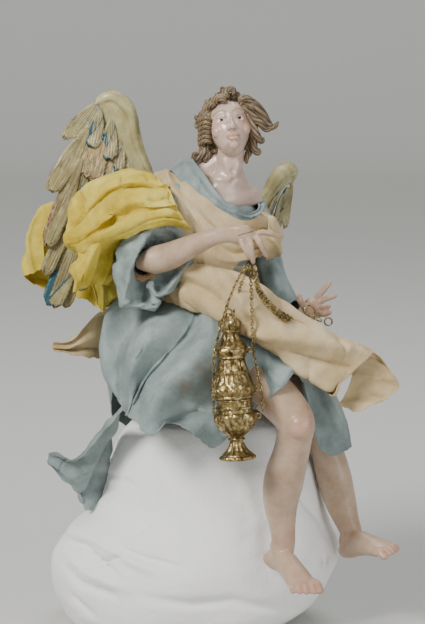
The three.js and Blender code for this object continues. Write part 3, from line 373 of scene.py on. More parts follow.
# The padding closes in under the mound over its lowest rings and at the crown over its highest. It is drawn
# in where the sheet is tucked, in deep and fine pleats, and the sheet is slack, puckered and finely creased.
def add_mound():
    around, rings, under, crown, foot, rounding = 200, 132, 14, 12, 8, 3
    deep_pleat, fine_pleat = 0.014, 0.008
    slack, pucker, crinkle = 2, -1.2, 0.35
    bm = bmesh.new()
    made, turn, rise = add_sphere(bm, around, rings)
    level = (rise * rings - under) / (rings - under)
    rows = spline(MOUND_LEVELS, np.clip(level, 0, 1))
    z, left, right, front, back = rows.T
    inward = np.clip((level + under / (rings - under)) * (rings - under) / under, 0, 1)
    top = np.clip((1 - level) * rings / crown, 0, 1) ** 0.5
    reach = np.where(level < 0, inward, top)
    pleat = 1 + deep_pleat * np.sin(5 * turn + z / 22) + fine_pleat * np.sin(9 * turn - z / 15)
    x = (left + right) / 2 + (right - left) / 2 * np.cos(turn) * pleat * reach
    y = (front + back) / 2 + (back - front) / 2 * np.sin(turn) * pleat * reach
    z = z + rounding * (1 - top) * (level > 0.5)
    points = np.stack([x, y, z], axis=1)
    outward = np.stack([np.cos(turn), np.sin(turn), 0 * turn], axis=1)
    facing = points[:, [0, 2]]
    front_part = np.clip(-np.sin(turn) * 3 + 0.6, 0, 1)
    lift = fold_heights(facing, MOUND_CREASES) * front_part
    behind = [([(-across0, up0) for across0, up0 in line], *rest) for line, *rest in MOUND_CREASES]
    lift += fold_heights(facing, behind) * np.clip(np.sin(turn) * 3 - 0.4, 0, 1)
    lift += waves(points * [1, 1, 1.3], 60, 1) * slack + np.abs(waves(points * [1, 1, 1.5], 34, 2)) * pucker
    lift += waves(points, 9, 3) * crinkle
    points += outward * (lift * np.clip(z / foot, 0, 1) * reach)[:, None]
    move_verts(made, points)
    mound = new_object("display_mound_cover", bm, COTTON)
    stain = near(points[:, [0, 2]], STAIN_AT, STAIN_SIZE) * (waves(points, 3, 5) > 0)
    paint(mound, "soil", 0.45 * stain)
    return mound


COTTON = cloth_material("white_cotton", (0.9, 0.9, 0.89), (0.86, 0.86, 0.85), (0.92, 0.92, 0.91),
                        0.1, 0.92, 1900, (0.35, 0.2, 0.1))
mound = add_mound()
finish_piece(mound, "white_cotton", "display_mound")

# Legs and arms.
# Each is carved from wood, painted flesh colour and varnished, and held in the padded body under the clothes.

# Two directions square to a line and to each other, at each step along it: the first is nearest to side.
def across_line(ahead, side):
    ahead = ahead / np.linalg.norm(ahead, axis=1)[:, None]
    wide = np.asarray(side, float) - (ahead @ np.asarray(side, float))[:, None] * ahead
    wide /= np.linalg.norm(wide, axis=1)[:, None]
    return wide, np.cross(ahead, wide)


# Adds one round form to a bmesh: a sphere drawn out along stations of (x, y, z, half width, half depth).
# The width runs towards side. Bulges are (share along, turn round, height, spread along, spread round).
def add_form(bm, stations, side=(1, 0, 0), around=24, rings=40, bulges=()):
    made, turn, rise = add_sphere(bm, around, rings)
    cap, look, blunt = 0.05, 0.02, 0.16
    share = np.clip((rise - cap) / (1 - 2 * cap), 0, 1)
    rows = spline(stations, share)
    after, before = (spline(stations, np.clip(share + step, 0, 1))[:, :3] for step in (look, -look))
    wide, deep = across_line(after - before, side)
    closing = np.minimum(np.sin(rise * math.pi) / math.sin(math.pi * blunt), 1)
    swell = np.zeros(len(turn))
    for at, to, height, along, round_ in bulges:
        off = np.abs((turn - math.radians(to) + math.pi) % (2 * math.pi) - math.pi)
        swell += height * np.exp(-(((share - at) / along) ** 2) - (off / math.radians(round_)) ** 2)
    w = (rows[:, 3] + swell) * closing
    d = (rows[:, 4] + swell) * closing
    points = rows[:, :3] + wide * (w * np.cos(turn))[:, None] + deep * (d * np.sin(turn))[:, None]
    move_verts(made, points)
    return made


def ball(bm, centre, radii):
    made = bmesh.ops.create_uvsphere(bm, u_segments=20, v_segments=14, radius=1)["verts"]
    place = Matrix.LocRotScale(Vector(centre) * MM, None, Vector(radii) * MM)
    bmesh.ops.transform(bm, verts=made, matrix=place)


# Joins the overlapping forms of a bmesh into one smooth skin.
def fused(name, bm, cell, passes, *materials):
    bmesh.ops.recalc_face_normals(bm, faces=bm.faces)
    piece = new_object(name, bm, *materials)
    remesh = piece.modifiers.new("skin", "REMESH")
    remesh.mode = "VOXEL"
    remesh.voxel_size = cell * MM
    remesh.use_smooth_shade = True
    smooth = piece.modifiers.new("smooth", "SMOOTH")
    smooth.factor = 0.5
    smooth.iterations = passes
    graph = bpy.context.evaluated_depsgraph_get()
    mesh = bpy.data.meshes.new_from_object(piece.evaluated_get(graph))
    old = piece.data
    piece.modifiers.clear()
    piece.data = mesh
    bpy.data.meshes.remove(old)
    mesh.name = name
    return piece


def points_of(piece):
    flat = np.zeros(len(piece.data.vertices) * 3, np.float32)
    piece.data.vertices.foreach_get("co", flat)
    return flat.reshape(-1, 3).astype(float) / MM


def normals_of(piece):
    flat = np.zeros(len(piece.data.vertices) * 3, np.float32)
    piece.data.vertices.foreach_get("normal", flat)
    return flat.reshape(-1, 3).astype(float)


def move_points(piece, points):
    piece.data.vertices.foreach_set("co", (points * MM).astype(np.float32).ravel())
    piece.data.update()


# Flesh paint under varnish: mottled, with fine brown specks of age, rosy where it is blushed. A painted mask
# darkens it: dirt, a crack, brows and lash lines, and painted shade at the lips and nostrils.
def flesh_material(name, colour, pale, deep, blush, rough, coat):
    material, shader, add = new_material(name)
    where = add("ShaderNodeTexCoord").outputs["Object"]
    mottle = add_noise(add, where, 70, 5, Roughness=0.6)
    tones = add_ramp(add, mottle, [(0.3, deep), (0.52, colour), (0.72, pale)])
    red = add_painted(add, "blush")
    rosy = add_mix(add, red, tones, (*blush, 1))
    dirt_and_shade = add_painted(add, "soil")
    specks = add_noise(add, where, 620, 2)
    speck = add_ramp(add, specks, [(0.69, 0), (0.76, 0.5)])
    marked = add_math(add, "MAXIMUM", speck, dirt_and_shade)
    base = add_mix(add, marked, rosy, (0.17, 0.09, 0.05, 1))
    fine = add_noise(add, where, 340, 4)
    feed(material.node_tree, shader, {
        "Base Color": base, "Normal": add_bump(add, fine, 0.12, 0.0003),
        "Roughness": add_gloss(add, mottle, rough + 0.08, rough - 0.06), "Coat Weight": coat,
        "Coat Roughness": 0.18, "Subsurface Weight": 0.06, "Subsurface Radius": (0.0012, 0.0006, 0.0004)})
    return material


PAINTED_FLESH = flesh_material("painted_flesh", (0.45, 0.32, 0.22), (0.52, 0.385, 0.275), (0.36, 0.24, 0.15),
                               (0.52, 0.17, 0.12), 0.42, 0.25)

# Stations down each leg, from the thigh under the skirt to the ankle.
RIGHT_LEG = [
    (2, -46, 209, 16, 16), (27.5, -62, 194.5, 17, 16.5), (47.5, -72, 178, 15, 15),
    (57.5, -77, 165, 13.2, 14), (57, -75, 154, 12.2, 13), (55, -71, 142, 12, 13),
    (50, -66, 122.5, 12.8, 13.6), (48, -64, 106.5, 11.4, 11.6), (49, -63, 90.5, 9.2, 9.4),
    (50, -62, 77.5, 8.2, 8.6), (48.5, -60, 68, 8.8, 9.4), (47.5, -60, 62.5, 8, 9),
]
LEFT_LEG = [
    (9, 22, 203.5, 16, 16), (45.5, 6, 182, 16, 16), (76, -6, 154.5, 13, 13.5), (82, -3, 133.5, 11.5, 12),
    (87.5, -2, 112.5, 11.8, 12.6), (92.5, -3, 93.5, 10.2, 10.6), (97, -5, 80.5, 8.8, 8.8),
    (100.5, -6, 70.5, 8, 8.2), (100, -6, 61, 8.4, 8.8), (100.5, -8, 56, 7.6, 8.4),
]
RIGHT_FOOT = {"heel": (43, -53, 62), "toes": (64, -90, 51.5), "across": (0.86, 0.5, 0.06)}
LEFT_FOOT = {"heel": (98.5, -4, 57.5), "toes": (124.5, -34, 65), "across": (-0.6, -0.7, -0.1)}
# The toes, from the big one: how long, and how thick.
TOE_REACH = (10, 10.5, 9.2, 7.4, 5)
TOE_RADIUS = (3.7, 2.7, 2.55, 2.4, 2.3)
TOE_GAP, TOE_FAN = 4.3, 0.06
# The ankle bones and the heel: (share along the foot, above it, to its side), and their radii.
FOOT_BONES = [((0.2, 11, 4.8), (3.6, 3.4, 3.6)), ((0.2, 10, -3.6), (3.4, 3.4, 3.6)),
              ((-0.04, -1, 0), (6.4, 5.6, 5.6))]
KNEE_CAP = (9.4, 8.2, 9.8)


# A foot from heel to ball with an arched instep, ankle bones and five jointed toes. across points to
# the big toe. Gives back where each toe's nail is.
def add_foot(bm, heel, toes, across):
    heel, toes = np.asarray(heel, float), np.asarray(toes, float)
    length = np.linalg.norm(toes - heel)
    axis = (toes - heel) / length
    side = np.asarray(across, float) - (axis @ np.asarray(across, float)) * axis
    side /= np.linalg.norm(side)
    top = np.cross(side, axis)
    top *= np.sign(top[2])

    def spot(t, lift, shift):
        return heel + axis * t * length + top * lift + side * shift

    sole = [
        (-0.1, -1, 0, 4.4, 4.4), (0.02, 0.2, 0, 7, 7.4), (0.3, 4.2, 0.6, 7.6, 9.6),
        (0.62, 2.4, 0.4, 9.2, 7.4), (0.88, -0.4, 0.2, 10.6, 5.2), (1.05, -1.6, 0.2, 10, 3.8),
    ]
    add_form(bm, [(*spot(t, lift, shift), w, d) for t, lift, shift, w, d in sole], side, 28, 36)
    for place, radii in FOOT_BONES:
        ball(bm, spot(*place), radii)
    nails = []
    for k, (reach, radius) in enumerate(zip(TOE_REACH, TOE_RADIUS)):
        root = spot(0.9, -1.4, 8.4 - TOE_GAP * k)
        fan = axis + side * (0.1 - TOE_FAN * k)
        start, bend = root, root + fan * (reach * 0.55) + top * 1.3
        tip = root + fan * reach - top * 1.4
        rows = [
            (*start, radius, radius), (*bend, radius * 0.86, radius * 0.86),
            (*(bend * 0.4 + tip * 0.6), radius * 0.92, radius * 0.84), (*tip, radius * 0.8, radius * 0.7),
        ]
        add_form(bm, rows, side, 16, 20)
        ball(bm, tip - top * radius * 0.2, (radius * 0.9, radius * 0.9, radius * 0.72))
        nails.append((tip + top * radius * 0.5 + axis * radius * 0.2, radius))
    return nails


# How rosy the skin is at the nails, and at other places given as (middle, size, how rosy).
def rosy_at(points, nails, places):
    spots = [(centre, radius * 0.9, 0.3) for centre, radius in nails] + [*places]
    return sum(amount * near(points, centre, size) for centre, size, amount in spots)


def add_leg(name, stations, foot, knee, bulges, rosy):
    bm = bmesh.new()
    add_form(bm, stations, (0.7, 0.7, 0), 40, 90, bulges)
    nails = add_foot(bm, **foot)
    ball(bm, knee, KNEE_CAP)
    leg = fused(name, bm, 0.75, 14, PAINTED_FLESH)
    points = points_of(leg)
    toes = np.asarray(foot["toes"], float)
    blush = rosy_at(points, nails, [(toes, 13, 0.16), (foot["heel"], 11, 0.1), *rosy])
    paint(leg, "blush", np.clip(blush, 0, 0.9))
    grain = waves(points, 5, 7)
    paint(leg, "soil", 0.25 * np.clip((grain - 0.35) * 4, 0, 1) * near(points, toes, 16))
    return leg


right_leg = add_leg("right_leg_carved", RIGHT_LEG, RIGHT_FOOT, (60.5, -86, 163.5),
                    [(0.6, 60, 1.4, 0.12, 60), (0.62, 190, 1.6, 0.12, 50), (0.75, -60, 0.8, 0.2, 30)],
                    [((64, -92, 161.5), 12, 0.3), ((54.5, -66, 78), 10, 0.15)])
finish_piece(right_leg, "painted_flesh", "right_leg")
left_leg = add_leg("left_leg_carved", LEFT_LEG, LEFT_FOOT, (78.5, -14, 151.5),
                   [(0.55, 60, 1.4, 0.12, 60), (0.57, 190, 1.6, 0.12, 50)], [((101, -12, 70.5), 9, 0.15)])
finish_piece(left_leg, "painted_flesh", "left_leg")

RIGHT_ARM = [
    (-53.5, -54, 273, 9.4, 9.4), (-43, -57, 275, 9.8, 9.6), (-31, -62, 278.5, 9.6, 9.2),
    (-18.5, -70, 285, 8.4, 8), (-4.5, -80, 292.5, 6.6, 6.4), (5, -85, 296, 5.9, 5),
    (12, -89, 297.5, 6.9, 4.4), (19, -92, 297, 8, 4.6), (25.5, -93, 296.5, 7.6, 4),
    (30.5, -92, 297, 5.4, 3.4),
]
RIGHT_FINGERS = [
    [(19, -92, 295.5), (21, -97, 290.5), (23.5, -97.5, 286.5), (25, -95, 281)],
    [(24.5, -93, 296.5), (26, -99, 291), (27, -99, 285), (28, -95.5, 277)],
    [(29, -92, 296.5), (32, -98, 292.5), (34.5, -97, 288), (37.5, -93, 281.5)],
    [(29.5, -92, 298), (34.5, -92, 299), (40.5, -90, 297.5), (47.5, -84, 294)],
    [(19, -90, 295), (22.5, -86, 289.5), (26, -85, 285.5), (30, -86, 281)],
]
LEFT_ARM = [
    (49.5, -2, 227, 5.6, 5.6), (55.5, -11, 228, 6, 6), (63, -20, 230, 5.8, 4.8), (68, -26, 234.5, 7.2, 3.8),
    (72.5, -29, 239, 7.8, 3.4), (75, -30, 241.5, 6.4, 2.8),
]
LEFT_FINGERS = [
    [(67, -26, 235.5), (64, -31, 240.5), (62, -33, 244), (61.5, -33, 249)],
    [(71.5, -28, 240), (75.5, -27, 246.5), (80, -25, 251.5), (84.5, -23, 256.5)],
    [(72.5, -29, 239.5), (77.5, -29, 243), (82.5, -28, 245), (88.5, -27, 246.5)],
    [(72, -28, 237), (77, -32, 238.5), (80, -36, 239), (83.5, -39, 241.5)],
    [(71.5, -27, 235), (76, -32, 234.5), (80, -37, 235), (84, -40, 237)],
]
FINGER_RADIUS = (2.5, 2.35, 2.3, 2.1, 2.6)
# How a finger tapers from joint to joint, and its knuckles as bulges all round it.
FINGER_TAPER = (1, 0.92, 0.86, 0.62)
KNUCKLES = [(0.33, 0, 0.14, 0.06, 400), (0.66, 0, 0.12, 0.05, 400), (0.9, 0, 0.12, 0.06, 400)]


def add_arm(name, stations, fingers, side, palm_side, bulges, rosy):
    bm = bmesh.new()
    add_form(bm, stations, side, 36, 80, bulges)
    nails = []
    for joints, radius in zip(fingers, FINGER_RADIUS):
        rows = [(*p, radius * s, radius * s) for p, s in zip(joints, FINGER_TAPER)]
        add_form(bm, rows, side, 18, 30, KNUCKLES)
        tip, last = np.asarray(joints[3], float), np.asarray(joints[2], float)
        along = (tip - last) / np.linalg.norm(tip - last)
        nails.append((tip - along * radius * 0.4 - np.asarray(palm_side) * radius * 0.7, radius * 0.7))
        ball(bm, joints[1], (radius * 1.04,) * 3)
        ball(bm, joints[2], (radius * 0.93,) * 3)
    arm = fused(name, bm, 0.5, 8, PAINTED_FLESH)
    points = points_of(arm)
    tips = [spot for joints in fingers for spot in ((joints[3], 4, 0.35), (joints[1], 2.6, 0.12))]
    blush = rosy_at(points, nails, [*rosy, *tips])
    paint(arm, "blush", np.clip(blush, 0, 0.8))
    return arm, points


right_arm, arm_points = add_arm("right_arm_carved", RIGHT_ARM, RIGHT_FINGERS, (0.5, 0.2, -0.8), (0, 0.9, 0.3),
                                [(0.2, 90, 1, 0.12, 60)], [((-52, -50, 267.5), 10, 0.2)])
# An old crack runs across the back of the right hand.
CRACK_LINE = [(18, 297), (22, 298.5), (30.5, 300.5)]
CRACK_WIDE, CRACK_DEEP, WRIST = 0.55, 0.5, 15
on_back = (normals_of(right_arm)[:, 1] < 0.3) * (arm_points[:, 0] > WRIST)
cracked = np.exp(-((off_line(arm_points[:, [0, 2]], CRACK_LINE)[0] / CRACK_WIDE) ** 2)) * on_back
move_points(right_arm, arm_points - normals_of(right_arm) * (CRACK_DEEP * cracked)[:, None])
paint(right_arm, "soil", 0.8 * cracked)
finish_piece(right_arm, "painted_flesh", "right_arm")
left_arm, arm_points = add_arm("left_arm_carved", LEFT_ARM, LEFT_FINGERS, (-0.6, 0.2, 0.7), (0, -0.9, 0), [],
                               [((72.5, -33, 240), 6, 0.25)])
finish_piece(left_arm, "painted_flesh", "left_arm")

# Ring of tow.
# Raw flax tow, twisted and wound round the wire of the body where the carved forearm is fixed to it. Its edge
# shows at the elbow.
TOW_AT = (-48.5, -47, 270)
TOW_RING = {"radius": 8.8, "thick": 2.5, "tilt": -25, "strands": 9, "twists": 11}


# The move to a place in millimetres, after turns in (degrees, axis), the last of them first.
def move(place, *turns):
    made = Matrix.Translation(Vector(place) * MM)
    for degrees, axis in turns:
        made = made @ Matrix.Rotation(math.radians(degrees), 4, axis)
    return made


# Raw tow, with painted shade in the grooves between its twisted strands.
def tow_material():
    material, shader, add = new_material("raw_tow")
    where = add("ShaderNodeTexCoord").outputs["Object"]
    fibres = add_noise(add, where, 900, 4)
    groove = add_painted(add, "groove")
    tones = add_ramp(add, fibres, [(0.3, (0.2, 0.12, 0.055)), (0.55, (0.42, 0.28, 0.15)),
                                   (0.8, (0.62, 0.45, 0.27))])
    base = add_mix(add, groove, tones, (0.12, 0.065, 0.03, 1))
    feed(material.node_tree, shader, {"Base Color": base, "Normal": add_bump(add, fibres, 0.5, 0.0003),
                                      "Roughness": 0.9})
    return material


def add_tow_ring():
    bm = bmesh.new()
    around, sides = 150, 45
    sink, fuzz, fuzz_size = 0.22, 0.07, 0.7
    made = bmesh.ops.create_circle(bm, segments=sides, radius=TOW_RING["thick"] * MM)["verts"]
    bmesh.ops.rotate(bm, verts=made, cent=(0, 0, 0), matrix=Matrix.Rotation(math.pi / 2, 3, "X"))
    bmesh.ops.translate(bm, verts=made, vec=(TOW_RING["radius"] * MM, 0, 0))
    bmesh.ops.spin(bm, geom=bm.verts[:] + bm.edges[:], cent=(0, 0, 0), axis=(0, 0, 1), steps=around,
                   angle=2 * math.pi, use_merge=True)
    bmesh.ops.remove_doubles(bm, verts=bm.verts, dist=1e-6)
    bmesh.ops.recalc_face_normals(bm, faces=bm.faces)
    shade_in_grooves = []
    for v in bm.verts:
        turn = math.atan2(v.co.y, v.co.x)
        off = Vector((math.hypot(v.co.x, v.co.y) - TOW_RING["radius"] * MM, v.co.z))
        round_wire = math.atan2(off.y, off.x)
        strand = 0.5 + 0.5 * math.cos(TOW_RING["strands"] * round_wire + TOW_RING["twists"] * turn)
        shrink = 1 - sink * (1 - strand) ** 2 + fuzz * noise.noise(v.co / (fuzz_size * MM))
        centre = Vector((math.cos(turn), math.sin(turn), 0)) * TOW_RING["radius"] * MM
        v.co = centre + (v.co - centre) * shrink
        shade_in_grooves.append((1 - strand) ** 3)
    bmesh.ops.transform(bm, verts=bm.verts, matrix=move(TOW_AT, (90 + TOW_RING["tilt"], "X")))
    tow = new_object("elbow_tow_ring", bm, tow_material())
    # How deep each point lies between the strands sets the painted shade there.
    paint(tow, "groove", shade_in_grooves)
    return tow


finish_piece(add_tow_ring(), "tow", "elbow_tow")

# Head and shoulders.
# One piece of fired clay down to the chest, with its hair modelled on it, painted and varnished. The eyes are
# glass, set from inside. The face is a plain one in the usual proportions: eyes at mid height, calm mouth.

HEAD_AT = (11.5, -7, 364)
HEAD_TURNS = ((5, "Z"), (-25, "X"), (-7, "Y"))
SKULL = {"wide": 31, "deep": 38, "high": 36}
head_place = move(HEAD_AT, *HEAD_TURNS)
# Heights of the face above the skull's middle, and how far apart and how deep its features lie.
BROW, EYES, MOUTH, CHIN = 5.6, 0.8, -12, -20.6
EYE_OFF, EYE_DEEP, EYE_RADIUS = 6.3, -12.4, 4


def both_sides(rows):
    return [rows, [(-x, *rest) for x, *rest in rows]]


def add_face(bm):
    ball(bm, (0, 0, 3), (SKULL["wide"] / 2, SKULL["deep"] / 2, SKULL["high"] / 2))
    mask = [
        (0, -2.5, 12, 12.6, 13.6), (0, -3, 8, 14.6, 14.6), (0, -3.4, 2, 15, 14.2), (0, -4, -4, 14.4, 13.6),
        (0, -4.8, -9, 12.8, 12.9), (0, -6, -14, 10.2, 11), (0, -7.6, -18, 7.2, 8.8), (0, -9, -20.8, 4, 6),
    ]
    add_form(bm, mask, (1, 0, 0), 40, 50)
    nose = [
        (0, -15.4, BROW, 1.9, 1.8), (0, -17.2, 1, 1.5, 1.7), (0, -19, -3.4, 1.7, 1.9),
        (0, -20.4, -6.2, 2.1, 2), (0, -19.4, -7.6, 1.8, 1.4),
    ]
    add_form(bm, nose, (1, 0, 0), 20, 30)
    upper = [
        (-4.6, -15.6, MOUTH - 0.3, 0.7, 0.6), (-2.4, -17.3, MOUTH + 0.5, 1.1, 0.95),
        (0, -18.1, MOUTH + 0.1, 1.1, 0.95), (2.4, -17.3, MOUTH + 0.5, 1.1, 0.95),
        (4.6, -15.6, MOUTH - 0.3, 0.7, 0.6),
    ]
    lower = [
        (-4, -15.8, MOUTH - 0.9, 0.7, 0.7), (-2, -17, MOUTH - 1.9, 1.2, 1.1),
        (0, -17.5, MOUTH - 2.1, 1.3, 1.2), (2, -17, MOUTH - 1.9, 1.2, 1.1),
        (4, -15.8, MOUTH - 0.9, 0.7, 0.7),
    ]
    for lip in (upper, lower):
        add_form(bm, lip, (0, 0, 1), 16, 30)
    ball(bm, (0, -14.6, -18.4), (3.8, 3.4, 3.2))
    for side in (-1, 1):
        ball(bm, (side * 2.4, -18, -6.7), (1.6, 1.9, 1.5))
        ball(bm, (side * 9, -9.6, -5.6), (5, 5, 5))
        ball(bm, (side * EYE_OFF, EYE_DEEP, EYES), (EYE_RADIUS - 0.35,) * 3)
        ball(bm, (side * 15, 1.5, -1.5), (1.5, 3.2, 5))
    lids = [
        (2.9, -14.6, EYES - 0.3, 0.45, 0.7), (4.3, -15.8, EYES + 1.7, 0.5, 0.7),
        (6.4, -16.2, EYES + 2.5, 0.5, 0.8), (8.5, -15.5, EYES + 1.7, 0.5, 0.7),
        (9.9, -14, EYES - 0.1, 0.45, 0.6),
    ]
    under = [
        (2.9, -14.6, EYES - 0.5, 0.45, 0.6), (4.8, -15.8, EYES - 1.6, 0.5, 0.6),
        (6.6, -15.8, EYES - 2.1, 0.45, 0.6), (8.5, -15, EYES - 1.4, 0.5, 0.6),
        (9.9, -14, EYES - 0.3, 0.45, 0.5),
    ]
    fold = [
        (3.4, -14.6, EYES + 3, 0.6, 0.7), (6.4, -15.4, EYES + 4, 0.8, 0.9),
        (9.6, -13.8, EYES + 3, 0.7, 0.7),
    ]
    brow = [(2.2, -16, BROW - 0.2, 1, 1.4), (6.2, -15.4, BROW + 1, 1.2, 1.6), (11, -12.4, BROW, 1, 1.3)]
    for rows in (lids, under, fold, brow):
        for one in both_sides(rows):
            add_form(bm, one, (0, 0, 1), 14, 24)


# Presses the last forms into the fused skin, in the head's own frame: (middle, size, how far, which way).
MIDDLE_PRESSES = [
    ((0, -18.6, MOUTH + 3), (1, 2.5, 1.6), 0.35, (0, 1, 0)),
    ((0, -18, MOUTH - 4.2), (4, 3, 1.3), 0.7, (0, 1, 0)),
    ((0, -19.5, CHIN + 2.6), (3.6, 4, 2.4), 0.5, (0, -1, 0)),
    ((0, -17.6, MOUTH - 0.75), (4.4, 2.6, 0.42), 0.5, (0, 1, 0)),
]
SIDE_PRESSES = [
    ((2.4, -16.6, 2.4), (1.5, 2.4, 2.8), 0.7, (0, 1, 0)),
    ((1.3, -19.4, -8.4), (0.8, 1, 0.6), 0.8, (0, 0.5, 0.8)),
    ((5.4, -14.4, -12.4), (1.2, 2, 1.4), 0.4, (0, 1, 0)),
    ((6.5, -16.2, EYES), (3.3, 3, 0.75), 1.8, (0, 1, 0)),
]
FACE_PRESSES = MIDDLE_PRESSES + [((side * x, y, z), *rest) for (x, y, z), *rest in SIDE_PRESSES
                                 for side in (1, -1)]
BROW_LINE = [(2.4, BROW + 0.2), (5.4, BROW + 1.9), (8.4, BROW + 2), (11.6, BROW + 0.2)]
LASH_LINE = [(3.1, EYES - 0.2), (4.4, EYES + 1.6), (6.4, EYES + 2.3), (8.5, EYES + 1.6), (10, EYES - 0.1)]

SHOULDER_AXIS = (0.775, 0.56, -0.28)
NECK = [
    (12, -3, 361, 9, 10.5), (12, -5, 351, 10.4, 11.4), (12, -6, 342.5, 10, 10.8),
    (11.5, -6, 335.5, 10.4, 10.8), (11, -6, 328.5, 14, 11.6), (10.5, -5, 321, 21, 13),
    (10.5, -4, 313, 29, 15), (9.5, -2, 302, 27, 13),
]
# The tendons, the hollow of the throat and the collar bones: lines of (across, up), how far out, how wide.
NECK_TOP = 344
NECK_RIDGES = [
    ([(2, 355), (7, 344), (13, 331)], 1.5, 2.6), ([(23, 352), (20, 341), (16, 331)], 1.3, 2.4),
    ([(14, 334), (14, 328)], -1.4, 2.2), ([(12, 328), (1, 329), (-9, 334)], 1.1, 2.2),
    ([(18, 327), (24, 324), (31, 319)], 1.1, 2.2), ([(9, 345), (12, 341)], 0.9, 3),
]
CLAY_FLESH = flesh_material("painted_clay", (0.54, 0.4, 0.325), (0.6, 0.46, 0.385), (0.48, 0.34, 0.265),
                            (0.58, 0.15, 0.09), 0.3, 0.45)


def add_bust():
    bm = bmesh.new()
    add_face(bm)
    bmesh.ops.transform(bm, verts=bm.verts, matrix=head_place)
    add_form(bm, NECK, SHOULDER_AXIS, 48, 70)
    add_form(bm, [(7, -2, 341, 9, 9), (-3, -3, 333, 10, 9), (-13, -4, 325.5, 10.5, 9)], (0, 0, 1), 18, 30)
    bust = fused("head_and_shoulders_clay", bm, 0.45, 5, CLAY_FLESH)
    points = points_of(bust)
    own = np.array(head_place.inverted().to_3x3())
    local = (points - np.array(HEAD_AT)) @ own.T
    for middle, size, far, way in FACE_PRESSES:
        amount = np.exp(-np.sum(((local - middle) / size) ** 2, axis=1)) * far
        local += amount[:, None] * np.asarray(way, float)
    points = local @ own + np.array(HEAD_AT)
    under_jaw = np.clip((NECK_TOP - points[:, 2]) / 8, 0, 1) * (normals_of(bust)[:, 1] < -0.15)
    for line, lift, width in NECK_RIDGES:
        points[:, 1] -= under_jaw * lift * np.exp(-((off_line(points[:, [0, 2]], line)[0] / width) ** 2))
    move_points(bust, points)
    front = local[:, 1] < -8
    mouth = [(-4.4, MOUTH - 0.6), (-2.2, MOUTH), (0, MOUTH - 0.3), (2.2, MOUTH), (4.4, MOUTH - 0.6)]
    red = 0.6 * np.exp(-((off_line(local[:, [0, 2]], mouth)[0] / 1.5) ** 4)) * (local[:, 1] < -14.6)
    for side in (-1, 1):
        red += 0.36 * near(local, (side * 10, -12.4, -5.4), 4.6)
        red += 0.16 * near(local, (side * EYE_OFF, -16, EYES), 3.4)
    red += 0.15 * near(local, (0, -20, -6), 2.4) + 0.14 * near(local, (0, -18, CHIN + 2), 3.6)
    paint(bust, "blush", np.clip(red, 0, 0.85))
    mirror = np.abs(local[:, [0, 2]]) * [1, 0] + local[:, [0, 2]] * [0, 1]
    brows = 0.55 * np.exp(-((off_line(mirror, BROW_LINE)[0] / 0.55) ** 2)) * front
    lashes = 0.5 * np.exp(-((off_line(mirror, LASH_LINE)[0] / 0.4) ** 2)) * front
    # The lip line and the nostrils are darkened with painted shade; the brows and lash lines are painted on.
    parting = [(-3.8, MOUTH - 0.8), (3.8, MOUTH - 0.8)]
    between = 0.5 * np.exp(-((off_line(local[:, [0, 2]], parting)[0] / 0.3) ** 2)) * front
    nostril_shade = sum(0.7 * near(local, (s * 1.3, -19.2, -8.3), 0.8) for s in (-1, 1))
    paint(bust, "soil", np.clip(brows + lashes + between + nostril_shade, 0, 0.85))
    return bust


bust = add_bust()
finish_piece(bust, "painted_clay", "head_and_shoulders")


# Glass eyes: white with a brown iris, and clear over it.
def eye_material():
    material, shader, add = new_material("glass_eye")
    ring = add_painted(add, "off_gaze")
    colours = [
        (0, (0.004, 0.003, 0.003)), (0.1, (0.004, 0.003, 0.003)), (0.12, (0.03, 0.017, 0.01)),
        (0.24, (0.06, 0.035, 0.02)), (0.27, (0.015, 0.01, 0.008)), (0.3, (0.8, 0.78, 0.74)),
        (0.9, (0.7, 0.6, 0.55)),
    ]
    feed(material.node_tree, shader, {"Base Color": add_ramp(add, ring, colours), "Roughness": 0.08,
                                      "Coat Weight": 1, "Coat Roughness": 0.03})
    return material


GLASS_EYE = eye_material()
GAZE = Vector((-0.02, -1, 0.04)).normalized()
for name, side in (("right_eye_glass", -1), ("left_eye_glass", 1)):
    bm = bmesh.new()
    bmesh.ops.create_uvsphere(bm, u_segments=48, v_segments=40, radius=EYE_RADIUS * MM)
    aim = Vector((0, 0, 1)).rotation_difference(GAZE).to_matrix().to_4x4()
    bmesh.ops.transform(bm, verts=bm.verts, matrix=aim)
    off = [math.acos(max(-1, min(1, v.co.normalized().dot(GAZE)))) / (math.pi / 2) for v in bm.verts]
    bmesh.ops.transform(bm, verts=bm.verts, matrix=head_place @ move((side * EYE_OFF, EYE_DEEP, EYES)))
    eye = new_object(name, bm, GLASS_EYE)
    paint(eye, "off_gaze", off)
    finish_piece(eye, "painted_clay")


# Hair: a cap with wavy locks laid on it, each with the grooves that the modeller drew along it. A lock runs
# between two places round the head: (turn, rise, turn, rise, lift off the skull, half width, curl). Turns go
# from the face towards the head's left, and rises up to the crown, in degrees.
LOCKS = [
    (8, 62, -4, 84, 8, 4.6, 2), (14, 60, 10, 80, 4, 4, -2), (-14, 54, -40, 66, 4, 4.4, 2),
    (-6, 52, -20, 60, 2, 3.4, -2), (30, 52, 52, 56, 5, 4.4, 2), (18, 50, 34, 54, 2.4, 3.6, 2),
    (44, 42, 68, 38, 5, 4.4, -2), (-38, 40, -66, 44, 5, 4.4, 2), (58, 22, 82, -2, 5, 4.4, -3),
    (64, 4, 86, -20, 5, 4.2, 3), (70, -12, 92, -36, 4, 4, -3), (-54, 24, -84, 14, 5, 4.4, -3),
    (-58, 10, -82, 4, 4, 4.2, 3), (-64, -4, -84, -14, 4, 4.2, -3), (-80, -8, -100, -28, 4, 4, 3),
]
